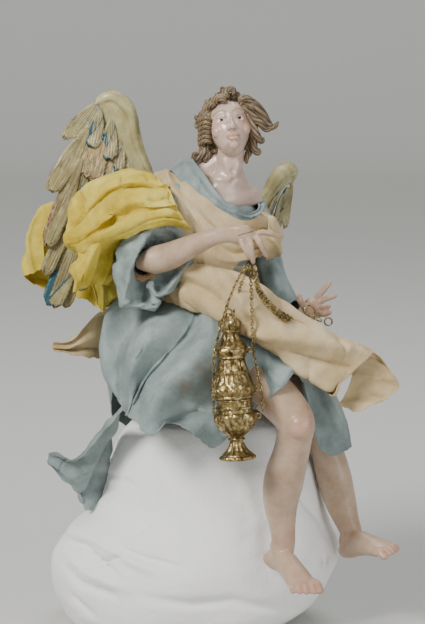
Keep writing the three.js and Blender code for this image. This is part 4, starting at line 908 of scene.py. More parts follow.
# Locks that stand free of the head, through stations with the radius of each, thickest first.
FREE_LOCKS = [
    [(20, -14, 384.5, 4.2), (28, -12, 381.5, 4.8), (35, -9, 374, 4.6), (39.5, -8, 366.5, 4),
     (43.5, -8, 365, 2.9), (47, -9, 369, 1.5)],
    [(21.5, -14, 381, 3.4), (28, -13, 373, 4), (33.5, -12, 368.5, 3.8), (38, -10, 363.5, 2.8),
     (42.5, -9, 363.5, 1.6)],
    [(24.5, -14, 377.5, 3.2), (27.5, -14, 368, 3.8), (31, -13, 360, 3.6), (34.5, -12, 355, 2.8),
     (36.5, -12, 358, 1.5)],
    [(26.5, -9, 365.5, 3), (29, -10, 357, 3.4), (29.5, -10, 350, 3.4), (32.5, -10, 346.5, 2.6),
     (33.5, -10, 350, 1.5)],
    [(24.5, -4, 354, 2.8), (26, -6, 347.5, 3.2), (24, -7, 342.5, 2.6), (24.5, -8, 338.5, 1.3)],
    [(18, -18, 385.5, 3), (23.5, -16, 386, 3.2), (28, -14, 383, 3), (28.5, -15, 379.5, 2.2),
     (26, -17, 379.5, 1.5)],
    [(11, -16, 386, 3.2), (9, -14, 389.5, 3), (11.5, -13, 392, 2.8), (15, -13, 391.5, 2.4),
     (14.5, -15, 388, 1.8)],
    [(9.5, -18, 384, 3), (4.5, -16, 386, 3.4), (0.5, -14, 383, 3.2), (-1, -14, 378.5, 2.2)],
    [(2, -16, 382.5, 3), (-3, -13, 380, 3.2), (-5.5, -12, 375, 3), (-3, -14, 371.5, 1.8)],
    [(-2.5, -13, 375, 3), (-6.5, -11, 370.5, 2.9), (-10.5, -10, 370.5, 2.4), (-12.5, -10, 373.5, 1.3)],
    [(-3, -13, 371, 2.8), (-7.5, -11, 367, 2.7), (-11, -10, 365.5, 2.2), (-11.5, -10, 369.5, 1.2)],
    [(-6, -10, 361.5, 3.4), (-8, -9, 355, 3.6), (-7, -9, 350, 3.2), (-9.5, -8, 346.5, 2)],
    [(-4, -9, 354.5, 3.2), (-5.5, -9, 348, 3.6), (-9.5, -9, 343.5, 3.2), (-13, -10, 342, 2.6),
     (-13, -11, 346, 2), (-9.5, -12, 346, 1.5)],
    [(-2, -7, 351.5, 2.8), (-2.5, -8, 345.5, 3), (-5.5, -9, 341.5, 2.4), (-2, -9, 340, 1.3)],
]
# The short waves combed one under another down the right cheek, from the first to the last.
CHEEK_FIRST, CHEEK_LAST, CHEEK_WAVES = (-5, -17, 370.5), (-4.5, -14, 354), 6
LOCK_AROUND, LOCK_RINGS, LOCK_STRANDS, LOCK_TWIST = 30, 26, 5, 0.12
# The rows of locks that cover the back: (rise, how many, the rise where they end).
LOCK_ROWS = [(62, 6, 40), (40, 9, 16), (16, 10, -8), (-8, 10, -34), (-26, 9, -50)]


# A place round the head, at a height above the skull.
def on_skull(turn, rise, lift):
    a, e = math.radians(turn), math.radians(rise)
    w, d, h = SKULL["wide"] / 2 + lift, SKULL["deep"] / 2 + lift, SKULL["high"] / 2 + lift
    return np.array((math.sin(a) * math.cos(e) * w, -math.cos(a) * math.cos(e) * d, math.sin(e) * h + 3))


# The stations of a wavy, tapering lock on the head.
def lock_on_head(turn0, rise0, turn1, rise1, lift, half, curl):
    start, end = on_skull(turn0, rise0, -1.2), on_skull(turn1, rise1, lift)
    early = on_skull(turn0 * 0.7 + turn1 * 0.3, rise0 * 0.7 + rise1 * 0.3 + curl, 1.6)
    late = on_skull(turn0 * 0.3 + turn1 * 0.7, rise0 * 0.3 + rise1 * 0.7 - 1.6 * curl, 0.5 * lift + 1)
    tip = end + np.array((0, 0.5, 0.5 * curl))
    return [(*start, half * 0.8, half * 0.5), (*early, half, half * 0.62), (*late, half * 0.8, half * 0.58),
            (*end, half * 0.5, half * 0.44), (*tip, half * 0.22, half * 0.22)]


# One lock, grooved along its strands; gives how deep each point lies in a groove, for the painted shade.
def add_lock(bm, rows, side, phase):
    one, shape, shade_in_grooves = bmesh.new(), bpy.data.meshes.new("lock"), []
    made = add_form(one, rows, side, LOCK_AROUND, LOCK_RINGS)
    one.normal_update()
    deepest = 0.13 * max(row[3] for row in rows)
    for i, v in enumerate(made):
        turn = 2 * math.pi * (i % LOCK_AROUND) / LOCK_AROUND
        strand = 0.5 + 0.5 * math.cos(LOCK_STRANDS * turn + LOCK_TWIST * (i // LOCK_AROUND) + phase)
        v.co -= v.normal * (1 - strand) * deepest * MM
        shade_in_grooves.append((1 - strand) ** 2)
    one.to_mesh(shape)
    one.free()
    bm.from_mesh(shape)
    bpy.data.meshes.remove(shape)
    return np.array(shade_in_grooves)


# Painted hair, blotched brown, with painted shade in the grooves between its strands.
def hair_material():
    material, shader, add = new_material("painted_hair")
    where = add("ShaderNodeTexCoord").outputs["Object"]
    blotch = add_noise(add, where, 90, 4)
    tones = add_ramp(add, blotch, [(0.3, (0.12, 0.078, 0.038)), (0.5, (0.22, 0.152, 0.083)),
                                   (0.72, (0.38, 0.285, 0.16))])
    groove = add_painted(add, "groove")
    base = add_mix(add, groove, tones, (0.032, 0.018, 0.01, 1))
    strands = add_noise(add, where, 700, 3)
    feed(material.node_tree, shader, {"Base Color": base, "Normal": add_bump(add, strands, 0.2, 0.0002),
                                      "Roughness": 0.5, "Coat Weight": 0.1})
    return material


def add_hair():
    bm = bmesh.new()
    ball(bm, (0, 4.6, 5), (SKULL["wide"] / 2 + 2.2, SKULL["deep"] / 2 - 0.6, SKULL["high"] / 2 + 1.6))
    locks = list(LOCKS)
    for rise, count, end in LOCK_ROWS:
        for k in range(count):
            turn = 100 + 160 * (k + 0.5 * (rise % 3)) / count
            locks.append((turn - 6, rise, turn + 6 * (-1) ** k, end, 4, 5.2, 3 * (-1) ** k))
    grooves = [np.zeros(len(bm.verts))]
    for k, lock in enumerate(locks):
        grooves.append(add_lock(bm, lock_on_head(*lock), (0, 0, 1), k))
    bmesh.ops.transform(bm, verts=bm.verts, matrix=head_place)
    for k, lock in enumerate(FREE_LOCKS):
        grooves.append(add_lock(bm, [(x, y, z, r, r * 0.85) for x, y, z, r in lock], (0, 1, 0), 2 * k))
    for k in range(CHEEK_WAVES):
        x, y, z = np.array(CHEEK_FIRST) + (np.array(CHEEK_LAST) - CHEEK_FIRST) * k / (CHEEK_WAVES - 1)
        wave = [
            (x + 4, y - 1, z - 0.5, 1, 1), (x + 1.5, y - 2.6, z + 1.6, 2, 1.9),
            (x - 2, y - 0.6, z + 1.2, 2.2, 2), (x - 4.5, y + 2, z - 1, 1.8, 1.6),
            (x - 4, y + 5, z - 1.5, 1, 1),
        ]
        grooves.append(add_lock(bm, wave, (0, 1, 0), k))
    hair = new_object("hair_modelled", bm, hair_material())
    paint(hair, "groove", np.concatenate(grooves))
    return hair


hair = add_hair()
finish_piece(hair, "painted_clay")

# Tunic.
# Pale blue silk, cut as a skirt, bodice, sleeves and a collar band and sewn together over the padded body.
# It is stiffened, so it stands in the folds that it was pressed into, and its hem is frayed.

# Points of a cloth between ribs, each a short list of points, as an array of rows along each rib.
def cloth_points(ribs, across, along, closed=False):
    drawn = spline(np.asarray(ribs, float).transpose(1, 0, 2), np.linspace(0, 1, along)).transpose(1, 0, 2)
    return spline(drawn, np.linspace(0, 1, across), closed)


# The same for a tube through stations, with the width of each towards side.
def tube_points(stations, side, across, along, turn0=0):
    shares = np.linspace(0, 1, along)
    rows = spline(stations, shares)
    wide, deep = across_line(np.gradient(rows[:, :3], axis=0), side)
    turn = np.radians(turn0) + np.linspace(0, 2 * math.pi, across)[:, None, None]
    return rows[:, :3] + wide * rows[:, 3:4] * np.cos(turn) + deep * rows[:, 4:5] * np.sin(turn)


def cloth_normals(grid, closed):
    wide = np.gradient(grid, axis=0)
    if closed:
        wide[0] = wide[-1] = grid[1] - grid[-2]
    normal = np.cross(wide, np.gradient(grid, axis=1))
    return normal / (np.linalg.norm(normal, axis=2)[..., None] + 1e-9)


# Lifts folds out of a cloth. Their lines are in shares of its width and length, and their heights and
# half widths are in millimetres.
def folded(grid, folds, closed=False):
    size = np.array([np.linalg.norm(np.diff(grid, axis=0), axis=2).sum(0).mean(),
                     np.linalg.norm(np.diff(grid, axis=1), axis=2).sum(1).mean()])
    shares = np.stack(np.meshgrid(np.linspace(0, 1, grid.shape[0]), np.linspace(0, 1, grid.shape[1]),
                                  indexing="ij"), axis=2)
    lift = fold_heights(shares * size, [(np.asarray(line) * size, *rest) for line, *rest in folds])
    return grid + cloth_normals(grid, closed) * lift[..., None]


# Puckers the cloth at random, by up to the given height.
def rumpled(grid, height, size, seed, closed=False, stretch=(1, 1, 1)):
    amount = waves(grid * stretch, size, seed) * height
    if closed:
        amount[-1] = amount[0]
    return grid + cloth_normals(grid, closed) * amount[..., None]


# Frays the far edge of a cloth: its last rows are drawn in and out along the ribs.
def frayed(grid, depth, size, seed):
    rows = 6
    ragged = waves(grid[:, -1], size, seed) * depth + waves(grid[:, -1], size / 3, seed + 1) * depth * 0.5
    run = grid[:, -1] - grid[:, -3]
    run /= np.linalg.norm(run, axis=1)[:, None] + 1e-9
    made = grid.copy()
    for k in range(rows):
        made[:, -1 - k] += run * ragged[:, None] * (1 - k / rows) ** 1.5
    return made


# Makes the cloth's mesh from a flat sheet whose points are moved to where they hang.
def cloth_piece(name, grid, material, closed=False, thick=0.55, soil=None):
    across, along = grid.shape[:2]
    width = np.linalg.norm(np.diff(grid, axis=0), axis=2).sum(0).mean() * MM
    length = np.linalg.norm(np.diff(grid, axis=1), axis=2).sum(1).mean() * MM
    bm = bmesh.new()
    mapped = bm.loops.layers.uv.new("UVMap")
    bmesh.ops.create_grid(bm, x_segments=across - 1, y_segments=along - 1, size=0.5)
    places = {v: (v.co.x + 0.5, v.co.y + 0.5) for v in bm.verts}
    for face in bm.faces:
        for loop in face.loops:
            u, v = places[loop.vert]
            loop[mapped].uv = (u * width, v * length)
    for v, (u, w) in places.items():
        v.co = grid[round(u * (across - 1)), round(w * (along - 1))] * MM
    if closed:
        bmesh.ops.remove_doubles(bm, verts=bm.verts, dist=1e-6)
    piece = new_object(name, bm, material)
    if soil:
        paint(piece, "soil", soil(points_of(piece)))
    wall = piece.modifiers.new("wall", "SOLIDIFY")
    wall.thickness = thick * MM
    wall.offset = 0
    return piece


BLUE_SILK = cloth_material("blue_silk", (0.245, 0.305, 0.3), (0.13, 0.17, 0.165), (0.39, 0.45, 0.43), 0.1)

# Ribs of the skirt, each from the waist to the hem, in turn round the body.
SKIRT = [
    [(-29, -14, 247.5), (-69, -8, 241), (-81, 0, 210.5), (-80.5, -4, 191), (-72, -16, 175.5)],
    [(-23, -22, 245.5), (-51.5, -26, 234.5), (-61.5, -30, 211.5), (-65, -34, 187), (-62, -46, 167)],
    [(-19, -30, 246), (-36.5, -58, 235.5), (-51.5, -74, 217.5), (-59.5, -70, 194.5), (-60, -56, 167)],
    [(-13, -36, 246), (-14.5, -56, 227.5), (-31, -60, 208.5), (-46.5, -60, 191.5), (-57, -62, 165.5)],
    [(-7.5, -42, 246), (-4, -76, 232.5), (-21, -88, 210), (-39, -84, 188.5), (-52, -72, 161.5)],
    [(-2, -46, 246), (5, -80, 226), (-5, -84, 202.5), (-20, -74, 181), (-42, -80, 155)],
    [(2.5, -48, 246.5), (16.5, -76, 225.5), (11, -76, 199.5), (-4.5, -66, 178), (-28.5, -72, 163)],
    [(6.5, -46, 246), (24.5, -72, 223), (22, -73, 196.5), (8, -66, 175.5), (-14.5, -74, 156)],
    [(11, -42, 247), (31.5, -68, 219.5), (30.5, -74, 195), (19, -70, 173), (3, -66, 145.5)],
    [(14.5, -36, 247), (37.5, -68, 216.5), (38.5, -78, 202.5), (34.5, -80, 189), (27.5, -76, 171.5)],
    [(16.5, -30, 246.5), (41.5, -60, 214), (48, -76, 206.5), (51, -84, 201), (47.5, -88, 190.5)],
    [(18, -22, 247), (47.5, -46, 213.5), (57, -62, 206), (61, -68, 201), (61, -68, 194)],
    [(18, -12, 247), (50.5, -34, 214.5), (63, -44, 196), (69, -38, 164.5), (78, -30, 135)],
    [(17, -2, 247), (55.5, -16, 213), (75, -26, 191.5), (88, -28, 164.5), (100.5, -12, 135)],
    [(11, 16, 246.5), (46.5, 30, 216.5), (69, 40, 182), (78, 44, 151.5), (81, 44, 132)],
    [(-0.5, 30, 246), (20.5, 66, 223), (34, 80, 183.5), (37.5, 84, 144.5), (37.5, 84, 121.5)],
    [(-13.5, 32, 245.5), (-19.5, 70, 225.5), (-21.5, 84, 186), (-21.5, 90, 143.5), (-21.5, 90, 120.5)],
    [(-25, 18, 246), (-60.5, 44, 232), (-68.5, 58, 194.5), (-70.5, 58, 162.5), (-70.5, 56, 142)],
]
RIB = 1 / len(SKIRT)
# Its folds, as lines of (rib, share of the way down), and then as shares of its width.
FOLDS_BY_RIB = sharp([
    ([(3, 0.1), (3, 0.5), (2.9, 0.95)], -7, 8), ([(1, 0.45), (1.1, 0.75), (1.3, 1)], -5, 7),
    ([(1.6, 0.7), (1.8, 1.05)], -3, 5), ([(2.5, 0.75), (2.4, 1.05)], -3, 5),
    ([(3.6, 0.7), (3.2, 1.05)], -2.6, 5), ([(5.2, 0.78), (6.4, 0.84), (7.4, 0.8)], -4.5, 8),
    ([(7.2, 0.86), (8.2, 0.93), (8.9, 0.9)], -3, 6), ([(9, 0.5), (9.6, 0.8), (10.2, 1)], -3, 6),
    ([(10.6, 0.3), (11, 0.7), (11.1, 1)], -5, 6), ([(13.2, 0.2), (13.3, 1)], -5, 8),
    ([(14.2, 0.2), (14.2, 1)], -7, 9), ([(15.6, 0.2), (15.6, 1)], -6, 9), ([(17, 0.2), (17, 1)], -5, 9),
]) + soft([
    ([(2.05, 0.1), (2, 0.5), (2.1, 1)], 3, 12), ([(4.1, 0.1), (4, 0.5), (4, 1)], 3, 14),
    ([(4.8, 0.9), (6, 0.95), (6.8, 0.92)], 3, 8), ([(5.5, 0.2), (6.5, 0.42), (7.5, 0.5)], -2, 10),
    ([(12.4, 0.2), (12.5, 0.6), (12.6, 1)], 4, 9), ([(14.9, 0.2), (15.1, 1)], 6, 12),
    ([(16.3, 0.2), (16.4, 1)], 6, 12), ([(17.5, 0.3), (17.6, 1)], 4, 10),
])
SKIRT_FOLDS = [([(rib * RIB, down) for rib, down in line], *rest) for line, *rest in FOLDS_BY_RIB]
# Where the skirt is stained: over the right thigh and above the hem.
STAINS = [((-18.5, -84, 189), 7), ((-8.5, -86, 204), 6.5), ((-1, -84, 193), 5), ((11, -78, 190), 5)]


def stained(points):
    grain = waves(points, 5, 11)
    marks = sum(near(points, centre, np.array((1, 4, 1)) * size) for centre, size in STAINS)
    patches = np.clip(marks * 1.6 + grain * 0.8 - 0.45, 0, 1)
    return 0.6 * patches + 0.12 * np.clip(waves(points, 26, 12) - 0.25, 0, 1)


def add_skirt():
    grid = cloth_points(SKIRT, 241, 74, closed=True)
    grid = folded(grid, SKIRT_FOLDS, closed=True)
    grid = rumpled(grid, 1.3, 16, 21, closed=True)
    grid = frayed(grid, 2.2, 7, 23)
    return cloth_piece("tunic_skirt", grid, BLUE_SILK, closed=True, soil=stained)


skirt = add_skirt()

# Stations down the body, from the shoulders to under the waist.
BODICE = [
    (6, -2, 312, 32, 17), (4.5, -3, 305, 38, 22), (1, -4, 292.5, 39, 24), (-4.5, -4, 275, 34, 23),
    (-11, 0, 254, 31, 21), (-19, 2, 232, 34, 24),
]
bodice_grid = tube_points(BODICE, SHOULDER_AXIS, 121, 60)
bodice_grid = rumpled(bodice_grid, 2.2, 14, 31, closed=True, stretch=(1, 1, 0.5))
bodice = cloth_piece("tunic_bodice", bodice_grid, BLUE_SILK, closed=True)

LEFT_SLEEVE = [
    (23, 20, 307, 14, 15), (31.5, 22, 283.5, 16, 16), (36, 12, 266, 14.5, 15), (41.5, -2, 248.5, 14, 14),
    (49, -10, 238, 12, 12), (55.5, -16, 233, 9.5, 9.5),
]
SLEEVE_FOLDS = sharp([
    ([(0.3, 0.1), (0.35, 0.6), (0.4, 1)], -3, 4), ([(0.65, 0.1), (0.62, 0.55), (0.7, 1)], -3, 4),
    ([(0.95, 0.3), (0.93, 0.95)], -2.4, 4),
]) + soft([
    ([(0.1, 0.2), (0.2, 0.5), (0.25, 0.9)], 2.4, 5), ([(0.5, 0.2), (0.48, 0.6), (0.55, 0.95)], 2.6, 5),
    ([(0.8, 0.2), (0.85, 0.6), (0.8, 1)], 2.4, 5),
])
sleeve_grid = folded(tube_points(LEFT_SLEEVE, (1, 0, 0), 121, 70), SLEEVE_FOLDS, closed=True)
sleeve_grid = rumpled(sleeve_grid, 1.4, 9, 33, closed=True)
left_sleeve = cloth_piece("tunic_left_sleeve", frayed(sleeve_grid, 1.2, 5, 34), BLUE_SILK, closed=True)

# The right sleeve is pushed up to the elbow. Ribs in turn round its mouth, from the top towards the arm,
# each from the shoulder over the wall to the rim and back inside it.
RIGHT_SLEEVE = [
    [(-25.5, -28, 326), (-30, -44, 313.5), (-34.5, -54, 303.5), (-36.5, -57, 297.5), (-39.5, -53, 292.5),
     (-44.5, -44, 283)],
    [(-22, -30, 325), (-26.5, -44, 310.5), (-28.5, -52, 302.5), (-27.5, -55, 296), (-31, -50, 291),
     (-42.5, -43, 283)],
    [(-18.5, -28, 322), (-24.5, -38, 301.5), (-21.5, -46, 294), (-20, -51, 289), (-25.5, -46, 286.5),
     (-40.5, -42, 281.5)],
    [(-17.5, -24, 316), (-23, -30, 288), (-16, -42, 282.5), (-15.5, -55, 277), (-21.5, -46, 277),
     (-38.5, -42, 279)],
    [(-19, -18, 311), (-26, -20, 278.5), (-18.5, -40, 270.5), (-22, -59, 266.5), (-25.5, -47, 269.5),
     (-37, -43, 274.5)],
    [(-21.5, -12, 306), (-32, -12, 271.5), (-25.5, -38, 259), (-31, -62, 256), (-31, -48, 260.5),
     (-37, -43, 270.5)],
    [(-24.5, -8, 303.5), (-37.5, -6, 268), (-33, -36, 251.5), (-38.5, -62, 251), (-37, -49, 255),
     (-38.5, -44, 267)],
    [(-27, -4, 301.5), (-42, -2, 266), (-38.5, -34, 247), (-43.5, -55, 257), (-44, -48, 258.5),
     (-41, -45, 264.5)],
    [(-29, 2, 300.5), (-46.5, 0, 266), (-43, -34, 242), (-39, -59, 243), (-42.5, -49, 249),
     (-43, -46, 262.5)],
    [(-33.5, 6, 300.5), (-52, 0, 267.5), (-52.5, -40, 242.5), (-49, -61, 243), (-47.5, -52, 249),
     (-46, -46, 261.5)],
    [(-37.5, 6, 302.5), (-57.5, -4, 272), (-63.5, -46, 246), (-61, -62, 246), (-55.5, -54, 250),
     (-49.5, -46, 262.5)],
    [(-40.5, 4, 306.5), (-62, -8, 278.5), (-67, -42, 257), (-59.5, -68, 259.5), (-56, -58, 259.5),
     (-53, -46, 265)],
    [(-42, -2, 310.5), (-63, -14, 289), (-69.5, -42, 269.5), (-57, -70, 271.5), (-55.5, -60, 269),
     (-55, -46, 269.5)],
    [(-41, -8, 315.5), (-59, -24, 298.5), (-67, -46, 280), (-53, -69, 281.5), (-54, -60, 275.5),
     (-55, -46, 274.5)],
    [(-37.5, -16, 320.5), (-51, -34, 307), (-60.5, -52, 290.5), (-48, -66, 290), (-50.5, -58, 283.5),
     (-53, -46, 278.5)],
    [(-31.5, -26, 325), (-39.5, -42, 312), (-46.5, -56, 301), (-42.5, -61, 296.5), (-45.5, -55, 289.5),
     (-49.5, -45, 282)],
]
CUFF_FOLDS = sharp([
    ([(0.02, 0.35), (0.03, 0.62)], -2.5, 4), ([(0.3, 0.4), (0.33, 0.62)], -3, 5),
    ([(0.42, 0.45), (0.44, 0.95)], -3, 4), ([(0.48, 0.45), (0.5, 0.95)], -3.4, 4),
    ([(0.62, 0.35), (0.63, 0.75)], -2.6, 4), ([(0.7, 0.42), (0.78, 0.44), (0.86, 0.4)], -2, 3),
    ([(0.88, 0.3), (0.9, 0.6)], -2.4, 4), ([(0.2, 0.3), (0.22, 0.6)], -2.4, 5),
]) + soft([
    ([(0.55, 0.5), (0.56, 0.95)], 2.6, 4), ([(0.76, 0.3), (0.82, 0.6)], 2, 5),
])
sleeve_grid = folded(cloth_points(RIGHT_SLEEVE, 193, 100, closed=True), CUFF_FOLDS, closed=True)
sleeve_grid = rumpled(rumpled(sleeve_grid, 1.5, 8, 36, closed=True), 0.7, 3.2, 37, closed=True)
right_sleeve = cloth_piece("tunic_right_sleeve", sleeve_grid, BLUE_SILK, closed=True)

# The collar: a band folded double round the neck opening, from its inner edge outwards.
COLLAR = [
    [(-13, -18, 341.5), (-20, -18, 339.5), (-29.5, -18, 335)],
    [(-5.5, -24, 332), (-12.5, -27, 329), (-20, -30, 325)],
    [(5.5, -28, 317.5), (-0.5, -32, 313.5), (-6.5, -34, 308.5)],
    [(16, -28, 310.5), (12.5, -32, 306), (8, -34, 300)], [(24.5, -25, 305), (26, -27, 301), (27, -30, 295)],
    [(31, -19, 306.5), (33, -19, 303), (35, -20, 297.5)], [(33, -4, 310), (35.5, -2, 306.5), (37, -2, 299)],
    [(25.5, 14, 316.5), (28.5, 18, 311.5), (28.5, 17, 300)],
    [(14, 22, 330), (17, 26, 324), (18.5, 22, 308.5)], [(-2.5, 18, 336), (-6, 23, 330), (-7, 21, 313)],
    [(-13, -2, 341), (-21, 2, 337.5), (-28.5, 6, 326)],
]
COLLAR_FOLDS = sharp([([(k / 11, 0.3), ((k + 0.6) / 11, 0.9)], -1.6, 3.5) for k in range(11)])
COLLAR_FOLDS += sharp([([(0, 0.45), (0.5, 0.42), (1, 0.45)], -2.2, 2.6)])
COLLAR_FOLDS += soft([([(0, 0.2), (0.5, 0.2), (1, 0.2)], 1.2, 3)])
collar_grid = folded(cloth_points(COLLAR, 201, 22, closed=True), COLLAR_FOLDS, closed=True)
collar_grid = rumpled(collar_grid, 0.8, 8, 41, closed=True)
collar = cloth_piece("tunic_collar", collar_grid, BLUE_SILK, closed=True, thick=1.1)

# A corner of the skirt that trails behind the right leg.
TAIL = [
    [(-58.5, -46, 177.5), (-64.5, -30, 166), (-72.5, -6, 154.5), (-73, 6, 145)],
    [(-65.5, -40, 165), (-72, -22, 154.5), (-75.5, 0, 139), (-73.5, 12, 126)],
    [(-77.5, -28, 148.5), (-82.5, -12, 138), (-83.5, 6, 120), (-78, 16, 103)],
    [(-90.5, -22, 132.5), (-93, -10, 123), (-92, 4, 102.5), (-85, 12, 87.5)],
    [(-102.5, -16, 125.5), (-104, -4, 117.5), (-99.5, 4, 98), (-91.5, 8, 84.5)],
    [(-111.5, -10, 130.5), (-112, -2, 121.5), (-107.5, 4, 110), (-99.5, 8, 99)],
    [(-118.5, -4, 128.5), (-119, 4, 122), (-115.5, 8, 113.5), (-109.5, 8, 106)],
]
TAIL_FOLDS = sharp([
    ([(0.05, 0.25), (0.5, 0.22), (0.9, 0.25)], -4, 4), ([(0.1, 0.75), (0.5, 0.72), (0.9, 0.7)], -4, 5),
    ([(0.7, 0), (0.8, 0.5), (0.75, 1)], -3, 5),
]) + soft([
    ([(0, 0.5), (0.4, 0.45), (0.95, 0.4)], 5, 7),
])
tail_grid = folded(cloth_points(TAIL, 90, 50), TAIL_FOLDS)
tail = cloth_piece("tunic_tail", frayed(rumpled(tail_grid, 1.8, 9, 44), 1.5, 5, 45), BLUE_SILK)

for piece, flat, held, rests in (
    (skirt, (0.46, 0.14), "gathered", ["tunic_bodice", "display_mound_cover"]),
    (bodice, (0.15, 0.11), "stretched", ["tunic_skirt"]),
    (left_sleeve, (0.085, 0.12), "gathered", ["tunic_bodice"]),
    (right_sleeve, (0.15, 0.15), "gathered", ["tunic_bodice"]),
    (collar, (0.23, 0.02), "folded", ["tunic_bodice"]),
    (tail, (0.08, 0.055), "hung", ["tunic_skirt"]),
):
    finish_piece(piece, "blue_silk")
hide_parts("tunic")

# Sash.
# One length of cream silk: over the right shoulder, across the chest, rolled round the waist, and out over
# the left thigh, where its end hangs open. The other end comes out behind. It is tied over the tunic.

CREAM_SILK = cloth_material("cream_silk", (0.56, 0.43, 0.24), (0.4, 0.28, 0.13), (0.7, 0.58, 0.38), 0.08)

# Ribs from the right shoulder round to the left side, each from the neck down to the waist.
CHEST_WRAP = [
    [(-40.5, 10, 331), (-45, 2, 324.5), (-45.5, -26, 311), (-38.5, -36, 287.5)],
    [(-31.5, -8, 333.5), (-33, -28, 324.5), (-30, -40, 306), (-24, -44, 272.5)],
    [(-20, -28, 328), (-18.5, -38, 318), (-16, -44, 295), (-11.5, -50, 263.5)],
    [(-5.5, -36, 317), (-4.5, -43, 306.5), (-2, -46, 287), (1, -52, 256.5)],
    [(9.5, -38, 306.5), (11, -43, 296.5), (13, -44, 281), (12.5, -48, 266)],
    [(23, -34, 300.5), (25, -38, 291.5), (26.5, -38, 280.5), (19.5, -40, 272)],
    [(32, -26, 303), (38, -26, 293), (39.5, -24, 281.5), (28, -28, 273.5)],
    [(38, -6, 307), (44, 2, 293), (44, 4, 280), (35.5, 4, 271)],
]
CHEST_FOLDS = sharp([
    ([(0.12, 0), (0.2, 0.35), (0.42, 0.62)], -2.6, 4), ([(0.3, 0.3), (0.5, 0.45), (0.72, 0.42)], -2.2, 4),
    ([(0.44, 0.76), (0.6, 0.84), (0.85, 0.86)], -3, 4), ([(0.14, 0.5), (0.2, 0.75), (0.22, 1)], -2.6, 4),
    ([(0.34, 0.7), (0.4, 1)], -2.2, 3.5),
]) + soft([
    ([(0.2, 0.1), (0.3, 0.5), (0.32, 0.95)], 2.6, 6), ([(0.4, 0.6), (0.6, 0.72), (0.85, 0.66)], 3, 5),
    ([(0.72, 0.15), (0.85, 0.4), (0.92, 0.75)], 2.4, 5),
])
wrap_grid = folded(cloth_points(CHEST_WRAP, 130, 72), CHEST_FOLDS)
chest_wrap = cloth_piece("sash_chest", rumpled(wrap_grid, 1.2, 12, 51), CREAM_SILK)

WAIST_ROLL = [
    (-33, -14, 249, 9, 6), (-20, -46, 255, 15, 9), (-0.5, -62, 254.5, 18, 10.5), (19, -72, 247.5, 19, 12),
    (37, -78, 236.5, 18, 12), (58, -74, 222.5, 17.5, 11), (79, -68, 208, 18, 11), (91, -64, 200.5, 19, 11),
    (99, -62, 196, 19.5, 10.5),
]
# Round the roll, 0.25 is its top, 0.5 its front and 0.75 its underside.
ROLL_FOLDS = sharp([
    ([(0.32, 0.32), (0.4, 0.5), (0.36, 0.64)], -5.5, 5), ([(0.72, 0.5), (0.76, 0.72)], -4, 5),
    ([(0.62, 0.6), (0.5, 0.78), (0.46, 0.96)], -5.5, 5),
    ([(0.25, 0.08), (0.5, 0.13), (0.75, 0.1)], -3.5, 4), ([(0.3, 0.26), (0.56, 0.33)], -3.5, 3.6),
    ([(0.5, 0.45), (0.76, 0.5)], -3.5, 4), ([(0.26, 0.5), (0.46, 0.56)], -3, 4),
    ([(0.54, 0.68), (0.76, 0.74)], -3.5, 4), ([(0.3, 0.74), (0.48, 0.81)], -3.2, 4),
    ([(0.56, 0.9), (0.78, 0.84)], -3.2, 3.6), ([(0.58, 0.16), (0.8, 0.24)], -3, 4),
]) + soft([
    ([(0.42, 0.1), (0.5, 0.26), (0.62, 0.42)], -5.5, 6), ([(0.3, 0.2), (0.42, 0.36), (0.5, 0.5)], 4, 6),
    ([(0.68, 0.38), (0.54, 0.56), (0.42, 0.72), (0.36, 0.9)], 5, 6), ([(0.72, 0.6), (0.64, 0.98)], 3.5, 5),
    ([(0.44, 0.2), (0.3, 0.14)], 2.6, 4),
])
roll_grid = folded(tube_points(WAIST_ROLL, (0, 0, 1), 121, 130, -90), ROLL_FOLDS, closed=True)
# The roll's mouth is cut on a slant: it reaches out on top and is drawn back in front.
mouth_rows = 16
mouth_run = roll_grid[:, -1] - roll_grid[:, -4]
mouth_run /= np.linalg.norm(mouth_run, axis=1)[:, None]
mouth_out = 9 * np.cos(2 * math.pi * (np.linspace(0, 1, 121) - 0.2)) - 3
for k in range(mouth_rows):
    roll_grid[:, -1 - k] += mouth_run * mouth_out[:, None] * (1 - k / mouth_rows)
roll_grid = rumpled(roll_grid, 1.6, 11, 53, closed=True)
waist_roll = cloth_piece("sash_waist_roll", roll_grid, CREAM_SILK, closed=True)

ROLL_END = [
    [(86.5, -56, 219), (95, -56, 210.5), (98, -58, 196.5), (93.5, -57, 181), (88, -56, 173.5)],
    [(98, -55, 217.5), (107.5, -55, 209), (110.5, -57, 195), (105, -59, 180), (96.5, -60, 170)],
    [(107.5, -54, 214.5), (117.5, -54, 204.5), (122, -56, 193.5), (115.5, -60, 179), (102, -63, 169)],
    [(115, -54, 209), (124.5, -54, 197.5), (131, -56, 186.5), (123, -60, 179), (112, -62, 174)],
]
END_FOLDS = sharp([
    ([(0, 0.5), (0.5, 0.55), (1, 0.5)], -3, 4),
]) + soft([
    ([(0.1, 0.2), (0.9, 0.25)], 3, 5), ([(0, 0.8), (0.6, 0.75), (1, 0.8)], 2.4, 4),
])
end_grid = folded(cloth_points(ROLL_END, 56, 64), END_FOLDS)
roll_end = cloth_piece("sash_open_end", frayed(rumpled(end_grid, 1.2, 9, 55), 1.2, 6, 56), CREAM_SILK)

